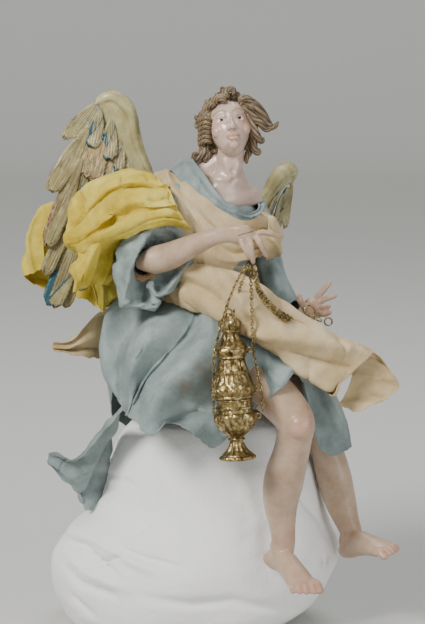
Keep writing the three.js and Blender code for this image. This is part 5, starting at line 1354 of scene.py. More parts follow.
SIDE_LOOP = [
    [(33.5, -40, 307.5), (39, -50, 303), (38.5, -54, 296.5), (32, -50, 291.5)],
    [(39, -34, 305.5), (43.5, -48, 298.5), (44.5, -52, 290.5), (36, -48, 284.5)],
    [(43.5, -26, 300.5), (47.5, -38, 289), (48, -42, 282.5), (39, -42, 277.5)],
    [(44.5, -14, 295), (48, -20, 282.5), (47, -24, 276), (38, -28, 272)],
]
LOOP_FOLDS = sharp([
    ([(0, 0.25), (1, 0.25)], -3.4, 3.5), ([(0.1, 0.75), (1, 0.72)], -3.4, 3.5),
]) + soft([
    ([(0, 0.5), (0.5, 0.45), (1, 0.5)], 4, 5),
])
loop_grid = folded(cloth_points(SIDE_LOOP, 50, 44), LOOP_FOLDS)
side_loop = cloth_piece("sash_side_loop", rumpled(loop_grid, 1, 8, 57), CREAM_SILK)

BACK_END = [
    [(-6, 22, 264.5), (-7.5, 26, 255.5), (-10.5, 30, 244.5)],
    [(-19.5, 52, 246), (-22.5, 70, 230), (-24.5, 82, 212)],
    [(-46.5, 74, 231), (-50, 82, 215), (-51.5, 86, 194.5)],
    [(-71.5, 58, 227.5), (-76.5, 70, 206), (-76.5, 74, 186.5)],
    [(-84.5, 50, 222.5), (-91, 58, 203.5), (-92.5, 60, 189)],
    [(-102.5, 52, 203), (-107, 57, 197.5), (-107, 55, 192)],
    [(-118, 55, 200), (-119, 57, 197), (-117, 55, 194)],
]
BACK_FOLDS = sharp([
    ([(0.3, 0.2), (0.65, 0.2), (0.95, 0.35)], -3.5, 5), ([(0.3, 0.8), (0.65, 0.75), (0.95, 0.65)], -3.5, 5),
]) + soft([
    ([(0.2, 0.5), (0.6, 0.45), (1, 0.5)], 4, 7),
])
back_grid = folded(cloth_points(BACK_END, 120, 40), BACK_FOLDS)
back_end = cloth_piece("sash_back_end", frayed(rumpled(back_grid, 1.6, 12, 58), 1.2, 6, 59), CREAM_SILK)

WAIST_BAND = [
    (-5.5, 0, 273, 36, 24.5), (-7, 0, 267.5, 37.5, 26), (-9.5, 0, 257, 37, 26.5),
    (-13.5, 0, 247, 39.5, 29.5), (-16, 0, 239.5, 40, 30),
]
BAND_FOLDS = soft([([(0, k / 6 + 0.1), (0.5, k / 6 + 0.05), (1, k / 6 + 0.1)], (-1) ** k * 2.2, 4)
                   for k in range(6)])
band_grid = folded(tube_points(WAIST_BAND, SHOULDER_AXIS, 161, 40), BAND_FOLDS, closed=True)
band_grid = rumpled(band_grid, 1.2, 12, 60, closed=True)
waist_band = cloth_piece("sash_waist_band", band_grid, CREAM_SILK, closed=True)

for piece, flat, held, rests in (
    (chest_wrap, (0.11, 0.065), "draped", ["tunic_bodice"]),
    (waist_roll, (0.1, 0.2), "folded", ["tunic_bodice", "tunic_skirt"]),
    (roll_end, (0.04, 0.042), "hung", ["sash_waist_roll"]),
    (side_loop, (0.036, 0.045), "hung", ["sash_chest"]),
    (back_end, (0.15, 0.035), "hung", ["sash_waist_band"]),
    (waist_band, (0.23, 0.04), "gathered", ["tunic_bodice"]),
):
    finish_piece(piece, "cream_silk")
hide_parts("sash")

# Mantle.
# Yellow silk, gathered on the right shoulder, puffed out in deep folds over the upper arm, and blown out
# behind the wing. It is stiffened and stitched at the gathers.

YELLOW_SILK = cloth_material("yellow_silk", (0.6, 0.46, 0.06), (0.38, 0.26, 0.015), (0.78, 0.67, 0.18), 0.06)

# The puff over the shoulder. Ribs from the gathers round to its left end, each down over a band, into the
# valley under it, over the main fold, and over the stitched hem.
PUFF = [
    [(-44, -4, 331), (-39.5, -18, 330), (-34, -32, 327), (-31, -38, 324), (-29, -46, 322), (-26, -52, 316),
     (-24, -53, 311), (-22, -57, 308), (-17.5, -58, 301), (-13.5, -55, 296)],
    [(-50.5, -2, 333), (-46.5, -20, 333), (-41, -36, 328.5), (-38.5, -37, 322.5), (-36.5, -48, 323),
     (-34.5, -59, 317), (-33.5, -60, 313), (-31.5, -67, 310.5), (-31, -68, 305), (-30, -60, 300.5)],
    [(-60.5, 2, 333.5), (-58.5, -16, 333.5), (-56, -36, 329), (-55, -33, 323), (-56, -49, 324.5),
     (-52.5, -64, 317.5), (-50.5, -63, 312), (-49.5, -71, 310), (-45.5, -70, 302.5), (-45, -60, 297.5)],
    [(-75, 6, 330), (-74, -14, 330), (-70.5, -33, 325), (-69.5, -30, 319), (-71.5, -47, 320),
     (-66, -64, 313), (-63, -61, 306), (-61, -71, 304.5), (-55.5, -69, 297.5), (-54.5, -58, 293.5)],
    [(-86.5, 8, 324), (-86.5, -10, 324.5), (-81.5, -29, 317.5), (-79, -26, 310.5), (-81, -44, 312),
     (-75.5, -59, 304), (-73.5, -55, 298.5), (-71.5, -67, 298), (-66.5, -64, 292.5), (-64.5, -54, 289.5)],
    [(-95.5, 10, 318), (-95.5, -6, 317.5), (-89, -24, 308.5), (-87.5, -21, 300.5), (-89.5, -38, 302.5),
     (-84, -51, 296), (-83.5, -47, 293), (-81.5, -60, 293), (-76, -59, 289), (-74.5, -50, 284.5)],
    [(-101, 10, 311), (-101, -2, 310), (-96, -18, 302.5), (-95, -17, 293), (-97.5, -32, 294),
     (-93, -43, 289.5), (-92.5, -40, 285.5), (-90.5, -50, 287), (-85.5, -52, 283), (-84.5, -44, 277)],
    [(-102, 12, 305), (-103.5, 2, 303), (-103, -10, 298), (-104, -15, 292.5), (-106, -24, 289.5),
     (-104, -33, 285.5), (-100.5, -34, 283), (-96, -40, 282), (-93, -44, 279.5), (-92, -38, 273.5)],
    [(-96, 18, 301.5), (-98.5, 14, 297.5), (-102.5, 6, 292.5), (-103.5, 0, 287.5), (-104.5, -8, 284),
     (-103, -16, 280.5), (-98.5, -20, 277), (-94, -24, 274.5), (-91, -28, 270.5), (-89.5, -26, 266)],
]
PUFF_FOLDS = sharp([
    ([(0, 0.2), (0.08, 0.16), (0.18, 0.14)], -4.2, 3.5), ([(0, 0.52), (0.1, 0.5), (0.2, 0.55)], -4.2, 3.5),
    ([(0, 0.84), (0.08, 0.85), (0.14, 0.86)], -3.6, 3), ([(0.03, 0), (0.04, 0.5), (0.03, 1)], -2.2, 2),
    ([(0.3, 0.1), (0.33, 0.22), (0.32, 0.3)], -3.6, 5), ([(0.14, 0.12), (0.17, 0.24)], -3.1, 4),
    ([(0.12, 0.86), (0.3, 0.88), (0.5, 0.87)], -2.2, 2.2),
]) + soft([
    ([(0, 0.28), (0.1, 0.26)], 2.8, 3), ([(0, 0.62), (0.1, 0.62), (0.22, 0.64)], 3.4, 4),
    ([(0.44, 0.5), (0.47, 0.6), (0.46, 0.68)], -7, 9), ([(0.28, 0.56), (0.4, 0.52), (0.52, 0.58)], 2.8, 9),
    ([(0.62, 0.06), (0.68, 0.2), (0.72, 0.24)], -7, 6),
    ([(0.55, 0.56), (0.7, 0.58), (0.84, 0.56)], -3.4, 6),
    ([(0.1, 0.93), (0.3, 0.94), (0.5, 0.93)], 1.4, 1.6),
    ([(0.16, 0.66), (0.24, 0.72), (0.3, 0.7)], -4.2, 4.5),
])
puff_grid = folded(cloth_points(PUFF, 190, 150), PUFF_FOLDS)
puff_grid = frayed(rumpled(rumpled(puff_grid, 1.2, 13, 61), 0.5, 4, 60), 2.4, 6, 62)
mantle_puff = cloth_piece("mantle_shoulder_puff", puff_grid, YELLOW_SILK)

# Under the puff the rest of the near half hangs in a lap, with one corner folded back.
LAP = [
    [(-96, -38, 282.5), (-92.5, -42, 276), (-101, -40, 266.5), (-97.5, -40, 258.5), (-99, -37, 249.5)],
    [(-88.5, -50, 287), (-88.5, -50, 277), (-93, -50, 269), (-93.5, -50, 260.5), (-95.5, -42, 252)],
    [(-79.5, -58, 290), (-82.5, -60, 283.5), (-86, -60, 275.5), (-89, -57, 266), (-92.5, -46, 254.5)],
    [(-75, -56, 289.5), (-78, -50, 281), (-81, -46, 272), (-84, -43, 262.5), (-86.5, -38, 255)],
    [(-70, -54, 290.5), (-72, -40, 279), (-75, -34, 268.5), (-78, -32, 261), (-81, -28, 255)],
    [(-63.5, -50, 290.5), (-65.5, -32, 278.5), (-67, -27, 267.5), (-70, -24, 260), (-74.5, -20, 252.5)],
]
LAP_FOLDS = sharp([
    ([(0.02, 0.1), (0.12, 0.35), (0.04, 0.5)], -3, 3), ([(0.5, 0.1), (0.52, 0.6), (0.5, 1)], -3, 5),
    ([(0.84, 0.2), (0.82, 1)], -3, 4), ([(0.2, 0.5), (0.24, 0.8), (0.2, 1)], -2, 4),
]) + soft([
    ([(0.38, 0.05), (0.37, 0.5), (0.36, 1)], 2.4, 3), ([(0.7, 0.3), (0.66, 0.7), (0.7, 1)], 2.6, 5),
])
lap_grid = folded(cloth_points(LAP, 110, 90), LAP_FOLDS)
mantle_lap = cloth_piece("mantle_lower_lap", frayed(rumpled(lap_grid, 1.2, 9, 68), 1.6, 6, 69), YELLOW_SILK)

# The far half, blown out behind the right wing.
MANTLE_FAR = [
    [(-73, 26, 264), (-76, 28, 244.5), (-80, 28, 227)],
    [(-84, 40, 269.5), (-85.5, 44, 248.5), (-87, 42, 231)],
    [(-97.5, 54, 277), (-101, 60, 252.5), (-101, 54, 234)],
    [(-117, 62, 289.5), (-122.5, 76, 261), (-122, 62, 239)],
    [(-130.5, 60, 289.5), (-140, 68, 265), (-136.5, 58, 248)],
    [(-130, 52, 296.5), (-139.5, 52, 271.5), (-137.5, 50, 251)],
    [(-123.5, 46, 303), (-131.5, 44, 281), (-129.5, 44, 254.5)],
    [(-116, 42, 307), (-123.5, 40, 283), (-122, 40, 259.5)],
]
FAR_FOLDS = sharp([
    ([(0.5, 0.1), (0.56, 0.5), (0.5, 1)], -5, 6), ([(0.85, 0.1), (0.82, 0.6), (0.86, 1)], -4, 5),
    ([(0.15, 0.1), (0.2, 0.9)], -4, 5), ([(0.05, 0.4), (0.3, 0.75), (0.5, 0.8)], -3, 5),
]) + soft([
    ([(0.3, 0.5), (0.55, 0.45), (0.8, 0.6)], 4, 8), ([(0.7, 0.1), (0.7, 0.6), (0.74, 1)], 4, 8),
])
far_grid = folded(cloth_points(MANTLE_FAR, 140, 72), FAR_FOLDS)
far_grid = frayed(rumpled(far_grid, 1.8, 14, 63), 1.6, 8, 64)
mantle_tail = cloth_piece("mantle_blown_end", far_grid, YELLOW_SILK)

# A strip of the mantle hangs down beside the sleeve and joins its two parts.
MANTLE_STRIP = [
    [(-88.5, -20, 269.5), (-87, -26, 260.5), (-84, -24, 248.5), (-82.5, -14, 238.5)],
    [(-83, -14, 269), (-81.5, -22, 260), (-79.5, -22, 248.5), (-80, -10, 234)],
    [(-76.5, -4, 268), (-74.5, -14, 256), (-73, -16, 245), (-76.5, -6, 234.5)],
    [(-71, 8, 267.5), (-68, 0, 254), (-68.5, -4, 243), (-72.5, 4, 237)],
    [(-70, 20, 267.5), (-68.5, 16, 252), (-70, 14, 238), (-74.5, 16, 231.5)],
]
STRIP_FOLDS = soft([([(k / 5 + 0.1, 0), (k / 5 + 0.08, 0.5), (k / 5 + 0.12, 1)], (-1) ** k * 2.4, 3)
                    for k in range(5)])
strip_grid = folded(cloth_points(MANTLE_STRIP, 60, 56), STRIP_FOLDS)
strip_grid = frayed(rumpled(strip_grid, 1, 9, 66), 1.4, 6, 67)
mantle_strip = cloth_piece("mantle_hanging_strip", strip_grid, YELLOW_SILK)

for piece, flat, held, rests in (
    (mantle_puff, (0.125, 0.1), "gathered", ["sash_chest", "tunic_right_sleeve"]),
    (mantle_lap, (0.06, 0.05), "hung", ["mantle_shoulder_puff"]),
    (mantle_tail, (0.12, 0.06), "hung", ["right_wing_carved"]),
    (mantle_strip, (0.04, 0.04), "hung", ["mantle_shoulder_puff"]),
):
    finish_piece(piece, "yellow_silk")
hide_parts("mantle")

# Wings.
# Each is carved from one board: a thick rounded leading edge, a plain shoulder below it, and layers of long
# feathers cut with fine barbs. They are painted cream, with blue-green and red-brown edges, and pegged on.

# How many points a feather has, and the share of those round it that face the front.
FEATHER_MESH = {"around": 64, "rings": 44, "front": 0.72}


# One feather as a flat sphere drawn out from root to tip. Its barbs are grooves that fan out to saw-toothed
# sides and a ragged tip. Gives back how deep, how far to the right and how near the tip each point is.
def add_feather(bm, root, tip, half, thick, seed):
    made, turn, share = add_sphere(bm, FEATHER_MESH["around"], FEATHER_MESH["rings"])
    turn = turn / (2 * math.pi) % 1
    root, tip = np.asarray(root, float), np.asarray(tip, float)
    axis = tip - root
    length = np.linalg.norm(axis)
    across = np.cross(axis, (0, 1, 0)) / np.linalg.norm(np.cross(axis, (0, 1, 0)))
    out = np.cross(across, axis / length)
    front = FEATHER_MESH["front"]
    side = np.where(turn < front, 1 - 2 * turn / front, 2 * (turn - front) / (1 - front) - 1)
    quill = np.clip(np.sin(math.pi * np.clip(share, 0, 0.5)), 0, 1) ** 0.3
    swell = (0.62 + 0.5 * np.sin(share * 2.2)) * quill
    blunt = np.sqrt(np.clip(1 - (np.clip(share - 0.84, 0, 1) / 0.16) ** 2, 0, 1))
    teeth = (share * length / 3.4 + 0.3 * seed) % 1
    width = half * swell * blunt * (1 - 0.13 * teeth * np.clip(share * 2 - 0.3, 0, 1))
    barbs = half * 1.25
    phase = side * barbs * (1.2 - 0.45 * share) / 2 + seed
    barb = np.abs(np.sin(phase * math.pi))
    fine = np.abs(np.sin(phase * 2.6 * math.pi + 1.1))
    ends = np.clip((share - 0.72) / 0.28, 0, 1)
    ragged = ((1 - barb) * 3 + 1.6 * np.sin(np.round(phase) * 2.4 + seed)) * ends**2
    groove = ((1 - barb) ** 2 + 0.35 * (1 - fine) ** 2) * np.clip((share - 0.16) * 4, 0, 1)
    face = np.where(turn < front, 1, -1) * np.sqrt(np.clip(1 - side**4, 0, 1))
    depth = face * (thick - 0.9 * groove) * np.clip(np.sin(math.pi * share), 0, 1) ** 0.35
    bow = 0.7 * np.sin(share * math.pi) + 0.6 * np.clip(share * 2, 0, 1) * (1 - side**2)
    points = root + axis * share[:, None] - axis / length * ragged[:, None]
    points = points + across * (width * side)[:, None] + out * (depth + bow)[:, None]
    move_verts(made, points)
    return np.stack([groove, side, share], axis=1)


WING_EDGE = [
    (-38, 25, 317, 2.4, 3), (-45.5, 28, 329.5, 2.4, 3.4), (-50.5, 31, 339.5, 2.6, 3.8),
    (-54, 33, 347.5, 3, 4.4), (-56.5, 35, 356.5, 3.6, 5), (-58, 37, 366.5, 4.4, 6),
    (-61.5, 38, 375.5, 5, 6.8), (-68, 39, 382, 5, 6.8), (-74.5, 39, 384, 4.4, 6),
    (-81, 38, 381.5, 3.6, 4.6), (-86, 36, 377, 2.6, 3),
]
WING_SHOULDER = [
    (-44, 28, 321, 6, 2.6), (-51, 31, 332, 7, 3), (-57.5, 34, 345, 8.6, 3.2), (-64.5, 37, 359.5, 12, 3.4),
    (-71, 39, 371, 13, 3.6), (-77.5, 39, 376.5, 8, 3.4), (-83, 38, 376.5, 4, 2.6),
]
# Feathers from the lowest layer to the highest: (root, tip, half width, blue edge, red tip, peach).
FEATHERS = [
    ((-99, 26, 280), (-117.5, 19, 231.5), 8.4, 1, 0.1, 0),
    ((-95, 30, 282.5), (-107.5, 24, 231.5), 5.6, 0.2, 0.9, 0.3),
    ((-87.5, 30, 290), (-96.5, 26, 243.5), 6.2, 0.5, 0.4, 0.1),
    ((-102, 25, 298), (-121.5, 19, 256), 5.2, 0.2, 0.6, 0),
    ((-74.5, 28, 303.5), (-82, 25, 264), 7, 0.4, 0.3, 0.2),
    ((-64.5, 29, 310.5), (-70, 26, 277.5), 7, 0.5, 0.2, 0.2),
    ((-54, 30, 320.5), (-60, 27, 293), 6, 0.4, 0.2, 0.1),
    ((-95, 27, 340), (-120, 18, 275.5), 6.6, 0.1, 0.9, 0.1),
    ((-89, 28, 338.5), (-106, 22, 291), 5.4, 0.9, 0.1, 0),
    ((-83, 29, 334), (-91.5, 24, 299.5), 6.6, 0.8, 0.1, 0),
    ((-73, 29, 329.5), (-78.5, 25, 299.5), 7, 0.3, 0.3, 0.3),
    ((-62, 30, 331), (-66.5, 26, 306.5), 6.6, 0.4, 0.2, 0.2),
    ((-90, 31, 361.5), (-117.5, 21, 315.5), 6.8, 0.05, 0.5, 0.15),
    ((-86.5, 31, 354), (-94, 25, 326), 6.2, 0.1, 0.6, 0.8),
    ((-79.5, 31, 351), (-86, 25, 323.5), 6.2, 0.1, 0.6, 0.9),
    ((-73, 32, 346.5), (-77, 26, 321), 6, 0.1, 0.4, 0.8),
    ((-66.5, 32, 342.5), (-69.5, 27, 318), 5.8, 0.2, 0.3, 0.5),
    ((-58.5, 32, 338), (-60.5, 28, 316.5), 5, 0.1, 0.2, 0.4),
    ((-85, 36, 379), (-108, 27, 353.5), 4.6, 0.05, 0.6, 0.1),
    ((-84, 36, 375.5), (-99.5, 28, 353), 4, 0.1, 0.5, 0.1),
    ((-81.5, 36, 374), (-87.5, 28, 347.5), 5.6, 1, 0.1, 0.1),
    ((-73.5, 36, 368), (-75, 28, 337.5), 5.6, 1, 0.2, 0.1),
    ((-67, 35, 356.5), (-68.5, 28, 329.5), 5, 0.9, 0.1, 0.1),
    ((-60.5, 34, 351), (-62, 29, 325), 4.4, 0.1, 0.2, 0.3),
]


# Cream paint with peach, blue-green and red-brown, fine specks, and painted shade in the grooves between the
# barbs.
def wing_material():
    material, shader, add = new_material("painted_wing")
    where = add("ShaderNodeTexCoord").outputs["Object"]
    blotch = add_noise(add, where, 48, 5, Roughness=0.65)
    tones = add_ramp(add, blotch, [(0.3, (0.19, 0.155, 0.055)), (0.5, (0.31, 0.27, 0.115)),
                                   (0.72, (0.5, 0.455, 0.25))])
    streak = add_noise(add, where, 330, 3)

    def layer(under, name, colour, low, high):
        mask = add_painted(add, name)
        ragged = add_math(add, "MULTIPLY_ADD", streak, 0.7, mask)
        amount = add("ShaderNodeMapRange", Value=ragged, i1=low, i2=high).outputs["Result"]
        return add_mix(add, amount, under, (*colour, 1))

    peach = layer(tones, "peach", (0.58, 0.38, 0.18), 0.4, 1.6)
    # Painted shade darkens the grooves between the barbs.
    grooved = layer(peach, "groove", (0.14, 0.11, 0.06), 0.42, 1.1)
    blue = layer(grooved, "blue_edge", (0.015, 0.075, 0.1), 0.8, 1)
    red = layer(blue, "red_tip", (0.2, 0.055, 0.03), 0.95, 1.15)
    specks = add_noise(add, where, 520, 2)
    speck = add_ramp(add, specks, [(0.68, 0), (0.75, 0.6)])
    base = add_mix(add, speck, red, (0.15, 0.09, 0.05, 1))
    brushed = add_noise(add, where, 260, 4)
    feed(material.node_tree, shader, {
        "Base Color": base, "Normal": add_bump(add, brushed, 0.25, 0.0004),
        "Roughness": add_gloss(add, blotch, 0.5, 0.34), "Coat Weight": 0.15, "Coat Roughness": 0.25})
    return material


PAINTED_WING = wing_material()


def add_right_wing():
    bm = bmesh.new()
    marks = []
    for k, (root, tip, half, blue, red, peach) in enumerate(FEATHERS):
        groove, side, share = add_feather(bm, root, tip, half, 1.4, k * 1.7).T
        end = np.clip((share - 0.88) / 0.08, 0, 1)
        left = np.clip((-side - 0.5) * 3, 0, 1) * np.clip(share * 4 - 1, 0, 1)
        right = np.clip((side - 0.55) * 3, 0, 1) * np.clip(share * 4 - 1.8, 0, 1)
        blued = blue * np.maximum(end, np.maximum(left, 0.9 * right))
        reddened = red * np.maximum(end, np.clip((-side - 0.75) * 5, 0, 1) * (share > 0.4) * 0.85)
        marks.append(np.stack([groove, blued, reddened, peach * np.clip(share * 1.6, 0, 1)], axis=1))
    feather_points = sum(len(m) for m in marks)
    board = bmesh.new()
    add_form(board, WING_EDGE, (-0.6, 0, -0.8), 28, 60)
    add_form(board, WING_SHOULDER, (-0.6, 0, -0.8), 40, 60)
    shoulder = fused("wing_shoulder", board, 0.6, 12)
    bm.from_mesh(shoulder.data)
    bpy.data.objects.remove(shoulder)
    plain = np.zeros((len(bm.verts) - feather_points, 4))
    wing = new_object("right_wing_carved", bm, PAINTED_WING)
    for name, values in zip(("groove", "blue_edge", "red_tip", "peach"), np.concatenate([*marks, plain]).T):
        paint(wing, name, values)
    return wing


right_wing = add_right_wing()
finish_piece(right_wing, "painted_wing", "right_wing")

# The left wing is the right one mirrored, tipped outwards, leaned back and turned about its root.
WING_ROOTS = {"right": (-41.5, 28, 321), "left": (23.5, 45, 292)}
LEFT_WING_TURNS = ((60, "Z"), (27, "X"), (37, "Y"))
left_wing = bpy.data.objects.new("left_wing_carved", right_wing.data.copy())
bpy.context.scene.collection.objects.link(left_wing)
mirrored = (move(WING_ROOTS["left"], *LEFT_WING_TURNS) @ Matrix.Diagonal((-1, 1, 1, 1))
            @ move(-Vector(WING_ROOTS["right"])))
left_wing.data.transform(mirrored)
left_wing.data.flip_normals()
finish_piece(left_wing, "painted_wing", "left_wing")

# Censer.
# Cast and chased brass, gilt: a footed bowl, and a pierced lid that rides up on three chains.

GILT_TONES = [(0.28, (0.1, 0.068, 0.025)), (0.5, (0.4, 0.3, 0.125)), (0.72, (0.68, 0.56, 0.32))]


# Mottled gilt brass, with painted shade in its sunk scrolls and in the hollows and windows of the chased work.
def gilt_material():
    material, shader, add = new_material("gilt_metal")
    where = add("ShaderNodeTexCoord").outputs["Object"]
    blotch = add_noise(add, where, 150, 5, Roughness=0.65)
    tones = add_ramp(add, blotch, GILT_TONES)
    scrolls = add("ShaderNodeTexVoronoi", {"feature": "SMOOTH_F1"}, Vector=where, Scale=430)
    scrolls = scrolls.outputs["Distance"]
    chased = add("ShaderNodeMapRange", Value=scrolls, i1=0.34, i2=0.62, i3=0, i4=0.75).outputs["Result"]
    groove = add_painted(add, "groove")
    hollow = add_math(add, "MAXIMUM", groove, chased)
    shaded_hollows = add_mix(add, hollow, tones, (0.07, 0.04, 0.015, 1))
    worn = add_math(add, "MULTIPLY_ADD", hollow, 0.35, add_gloss(add, blotch, 0.42, 0.24))
    fine = add_noise(add, where, 900, 3)
    relief = add_math(add, "MULTIPLY_ADD", scrolls, -2.5, fine)
    feed(material.node_tree, shader, {"Base Color": shaded_hollows, "Normal": add_bump(add, relief, 0.5, 0.0004),
                                      "Roughness": worn, "Metallic": 1})
    return material


GILT_METAL = gilt_material()
CENSER_FOOT = (17.5, -96, 142)
CENSER_LEAN = ((-3, "X"), (-3.5, "Y"))
hung = move(CENSER_FOOT, *CENSER_LEAN)

# Turned profiles of (radius, height), and bands of chased work on them as
# (lowest, highest, how many round it, depth, kind).
BOWL_OUTSIDE = [
    (0, 0.6), (8, 0.4), (11.6, 0), (12.4, 0.5), (12.5, 1.6), (11.8, 2.6), (10.9, 2.8), (10.6, 3.6),
    (9.6, 4.4), (7.8, 5.8), (6.4, 7.6), (5.4, 9.4), (4.7, 11.4), (4.5, 12.8), (5.3, 13.2), (5.6, 14),
    (5.3, 14.8), (4.8, 15.3), (5.4, 16.2), (7.2, 17.6), (9.6, 19.6), (11.8, 21.8), (13.6, 24.6),
    (14.7, 27.4), (15, 29.4), (14.7, 31), (14, 32.2), (13.2, 32.8), (12.7, 33.8), (12.5, 35), (12.9, 35.6),
    (12.9, 36.6), (12.4, 37.2), (12.2, 39), (12.2, 40.8), (12.6, 41.3), (12.5, 42),
]
BOWL_INSIDE = [(11, 42), (10.8, 37), (11, 33), (12, 28), (9.6, 23), (7, 20.6), (3.4, 19), (0, 18.6)]
LID_OUTSIDE = [
    (12.6, 0), (13.4, 0.4), (13.6, 1.6), (13.1, 2.4), (13.7, 3), (14.9, 4.6), (15.2, 6.2), (14.9, 8),
    (14, 10), (12.8, 12), (11.8, 14.2), (11.2, 16), (10.9, 17.4), (11.2, 18), (10.8, 19), (10, 20.6),
    (9.3, 22.6), (8.9, 25), (8.8, 27), (9.3, 27.8), (9.9, 28.4), (9.6, 29.4), (10.2, 30.4), (11.4, 32),
    (11.7, 33.4), (11.3, 34.6), (10.6, 35.6), (10.9, 36.2), (10.2, 37.2), (8.4, 38.8), (6.9, 40.6),
    (6, 42.4), (5.4, 44.2), (5.2, 45.4), (6, 46), (6.1, 46.8), (5.5, 47.4), (6.2, 48.6), (7.2, 50.2),
    (7.5, 51.8), (7, 53.6), (5.6, 55.2), (4, 56.4), (2.6, 57.2), (2.2, 58), (1.4, 58.6), (0, 58.8),
]
LID_INSIDE = [
    (0, 38), (4, 36.4), (6, 35), (7.4, 30), (7.7, 24), (9.6, 16), (12.2, 9.5), (12.6, 5), (11.6, 0),
]
LID_LIFT = 42.4
BOWL_WORK = [
    (3.2, 12, 12, 0.5, "flute"), (16, 24.5, 14, 0.7, "lobe"), (25, 32, 9, 0.9, "leaf"),
    (35.4, 36.8, 40, 0.3, "bead"), (0.6, 2.4, 36, 0.3, "bead"),
]
LID_WORK = [
    (3, 9.5, 8, 1, "leaf"), (10, 17, 16, 0.6, "lobe"), (18.5, 27, 8, 1.1, "window"),
    (28.2, 29, 26, 0.3, "bead"), (30.5, 35.4, 8, 0.9, "leaf"), (37.5, 44, 10, 0.5, "flute"),
    (48, 55, 10, 0.8, "leaf"),
]


# Chased work: how far the surface stands out or sinks, and how much painted shade darkens its hollows,
# round and up the wall.
def chased(turn, height, work):
    lift = np.zeros(turn.shape)
    hollow_shade = np.zeros(turn.shape)
    for low, high, count, depth, kind in work:
        up = (height - low) / (high - low)
        inside = (up > 0) & (up < 1)
        edge = np.where(inside, np.sin(np.clip(up, 0, 1) * math.pi) ** 0.5, 0)
        wave = np.cos(count * turn)
        if kind == "leaf":
            veins = np.cos(count * 3 * turn + 5 * (up - 0.5) * np.sign(np.sin(count * turn)))
            shape = 0.6 * wave + 0.4 * veins * (0.5 + 0.5 * np.cos(2 * math.pi * up * 2))
        # A window is sunk and darkened with painted shade, not cut through.
        elif kind == "window":
            slot = (np.cos(count * turn) > 0.35) & (up > 0.12) & (up < 0.86)
            shape = np.where(slot, -1, 0.5 + 0.3 * np.cos(count * 4 * turn))
        elif kind == "lobe":
            shape = np.sqrt(np.abs(np.cos(count * turn / 2))) * 2 - 1.2
        else:
            shape = wave
        lift += depth * shape * edge
        hollow_shade += np.clip(-shape * edge * 1.2, 0, 1)
    return lift, np.clip(hollow_shade, 0, 1)


# Turns a profile about the upright axis, closed on itself or on the axis, and chases its outer wall.
def turned_piece(name, outside, inside, work, lift_by, extras):
    steps = 112
    fine = spline(outside, np.linspace(0, 1, 4 * len(outside)))
    profile = [*fine, *inside]
    bm = bmesh.new()
    spots = [bm.verts.new((max(r, 0) * MM, 0, z * MM)) for r, z in profile]
    line = [bm.edges.new(pair) for pair in zip(spots, spots[1:])]
    if outside[0][0] > 0:
        line.append(bm.edges.new((spots[-1], spots[0])))
    bmesh.ops.spin(bm, geom=[*spots, *line], cent=(0, 0, 0), axis=(0, 0, 1), angle=2 * math.pi, steps=steps,
                   use_merge=True)
    bmesh.ops.remove_doubles(bm, verts=bm.verts, dist=1e-6)
    bmesh.ops.recalc_face_normals(bm, faces=bm.faces)
    points = np.array([v.co for v in bm.verts]) / MM
    radius = np.hypot(points[:, 0], points[:, 1])
    turn = np.arctan2(points[:, 1], points[:, 0])
    wall = np.interp(points[:, 2], *zip(*sorted((z, r) for r, z in inside)))
    outer = radius > wall + 0.55
    lift, hollow_shade = chased(turn, points[:, 2], work)
    grow = np.where(outer & (radius > 1), (radius + lift) / np.maximum(radius, 1), 1)
    points[:, 0] *= grow
    points[:, 1] *= grow
    move_verts(bm.verts, points)
    plain = len(bm.verts)
    for extra in extras:
        extra(bm)
    bmesh.ops.translate(bm, verts=bm.verts, vec=(0, 0, lift_by * MM))
    bmesh.ops.transform(bm, verts=bm.verts, matrix=hung)
    total = len(bm.verts)
    piece = new_object(name, bm, GILT_METAL)
    # The hollows and windows of the chased work take painted shade; the trim is left plain.
    paint(piece, "groove", np.concatenate([hollow_shade * outer, np.zeros(total - plain)]))
    return piece


# A ring of round wire, made by spinning a small circle.
def add_ring(bm, matrix, radius, wire, steps=24, sides=8, long=1):
    place = move((radius, 0, 0), (90, "X"))
    circle = bmesh.ops.create_circle(bm, segments=sides, radius=wire * MM, matrix=place)
    start = set(bm.verts) - set(circle["verts"])
    geom = circle["verts"] + list({e for v in circle["verts"] for e in v.link_edges})
    bmesh.ops.spin(bm, geom=geom, cent=(0, 0, 0), axis=(0, 0, 1), angle=2 * math.pi, steps=steps,
                   use_merge=True)
    made = [v for v in bm.verts if v not in start]
    bmesh.ops.transform(bm, verts=made, matrix=matrix @ Matrix.Diagonal((1, long, 1, 1)))
    return made


# Where round the censer its three chains hang, in degrees.
CHAIN_TURNS = (-8, 222, 100)


def lug(radius, height, turn, size=1.7):
    def add(bm):
        place = move((0, 0, 0), (turn, "Z")) @ move((radius, 0, height), (90, "X"))
        add_ring(bm, place, size, 0.5)
    return add


def bead(radius, height, count, size):
    def add(bm):
        for k in range(count):
            a = 2 * math.pi * k / count
            place = move((radius * math.cos(a), radius * math.sin(a), height))
            bmesh.ops.create_icosphere(bm, subdivisions=1, radius=size * MM, matrix=place)
    return add


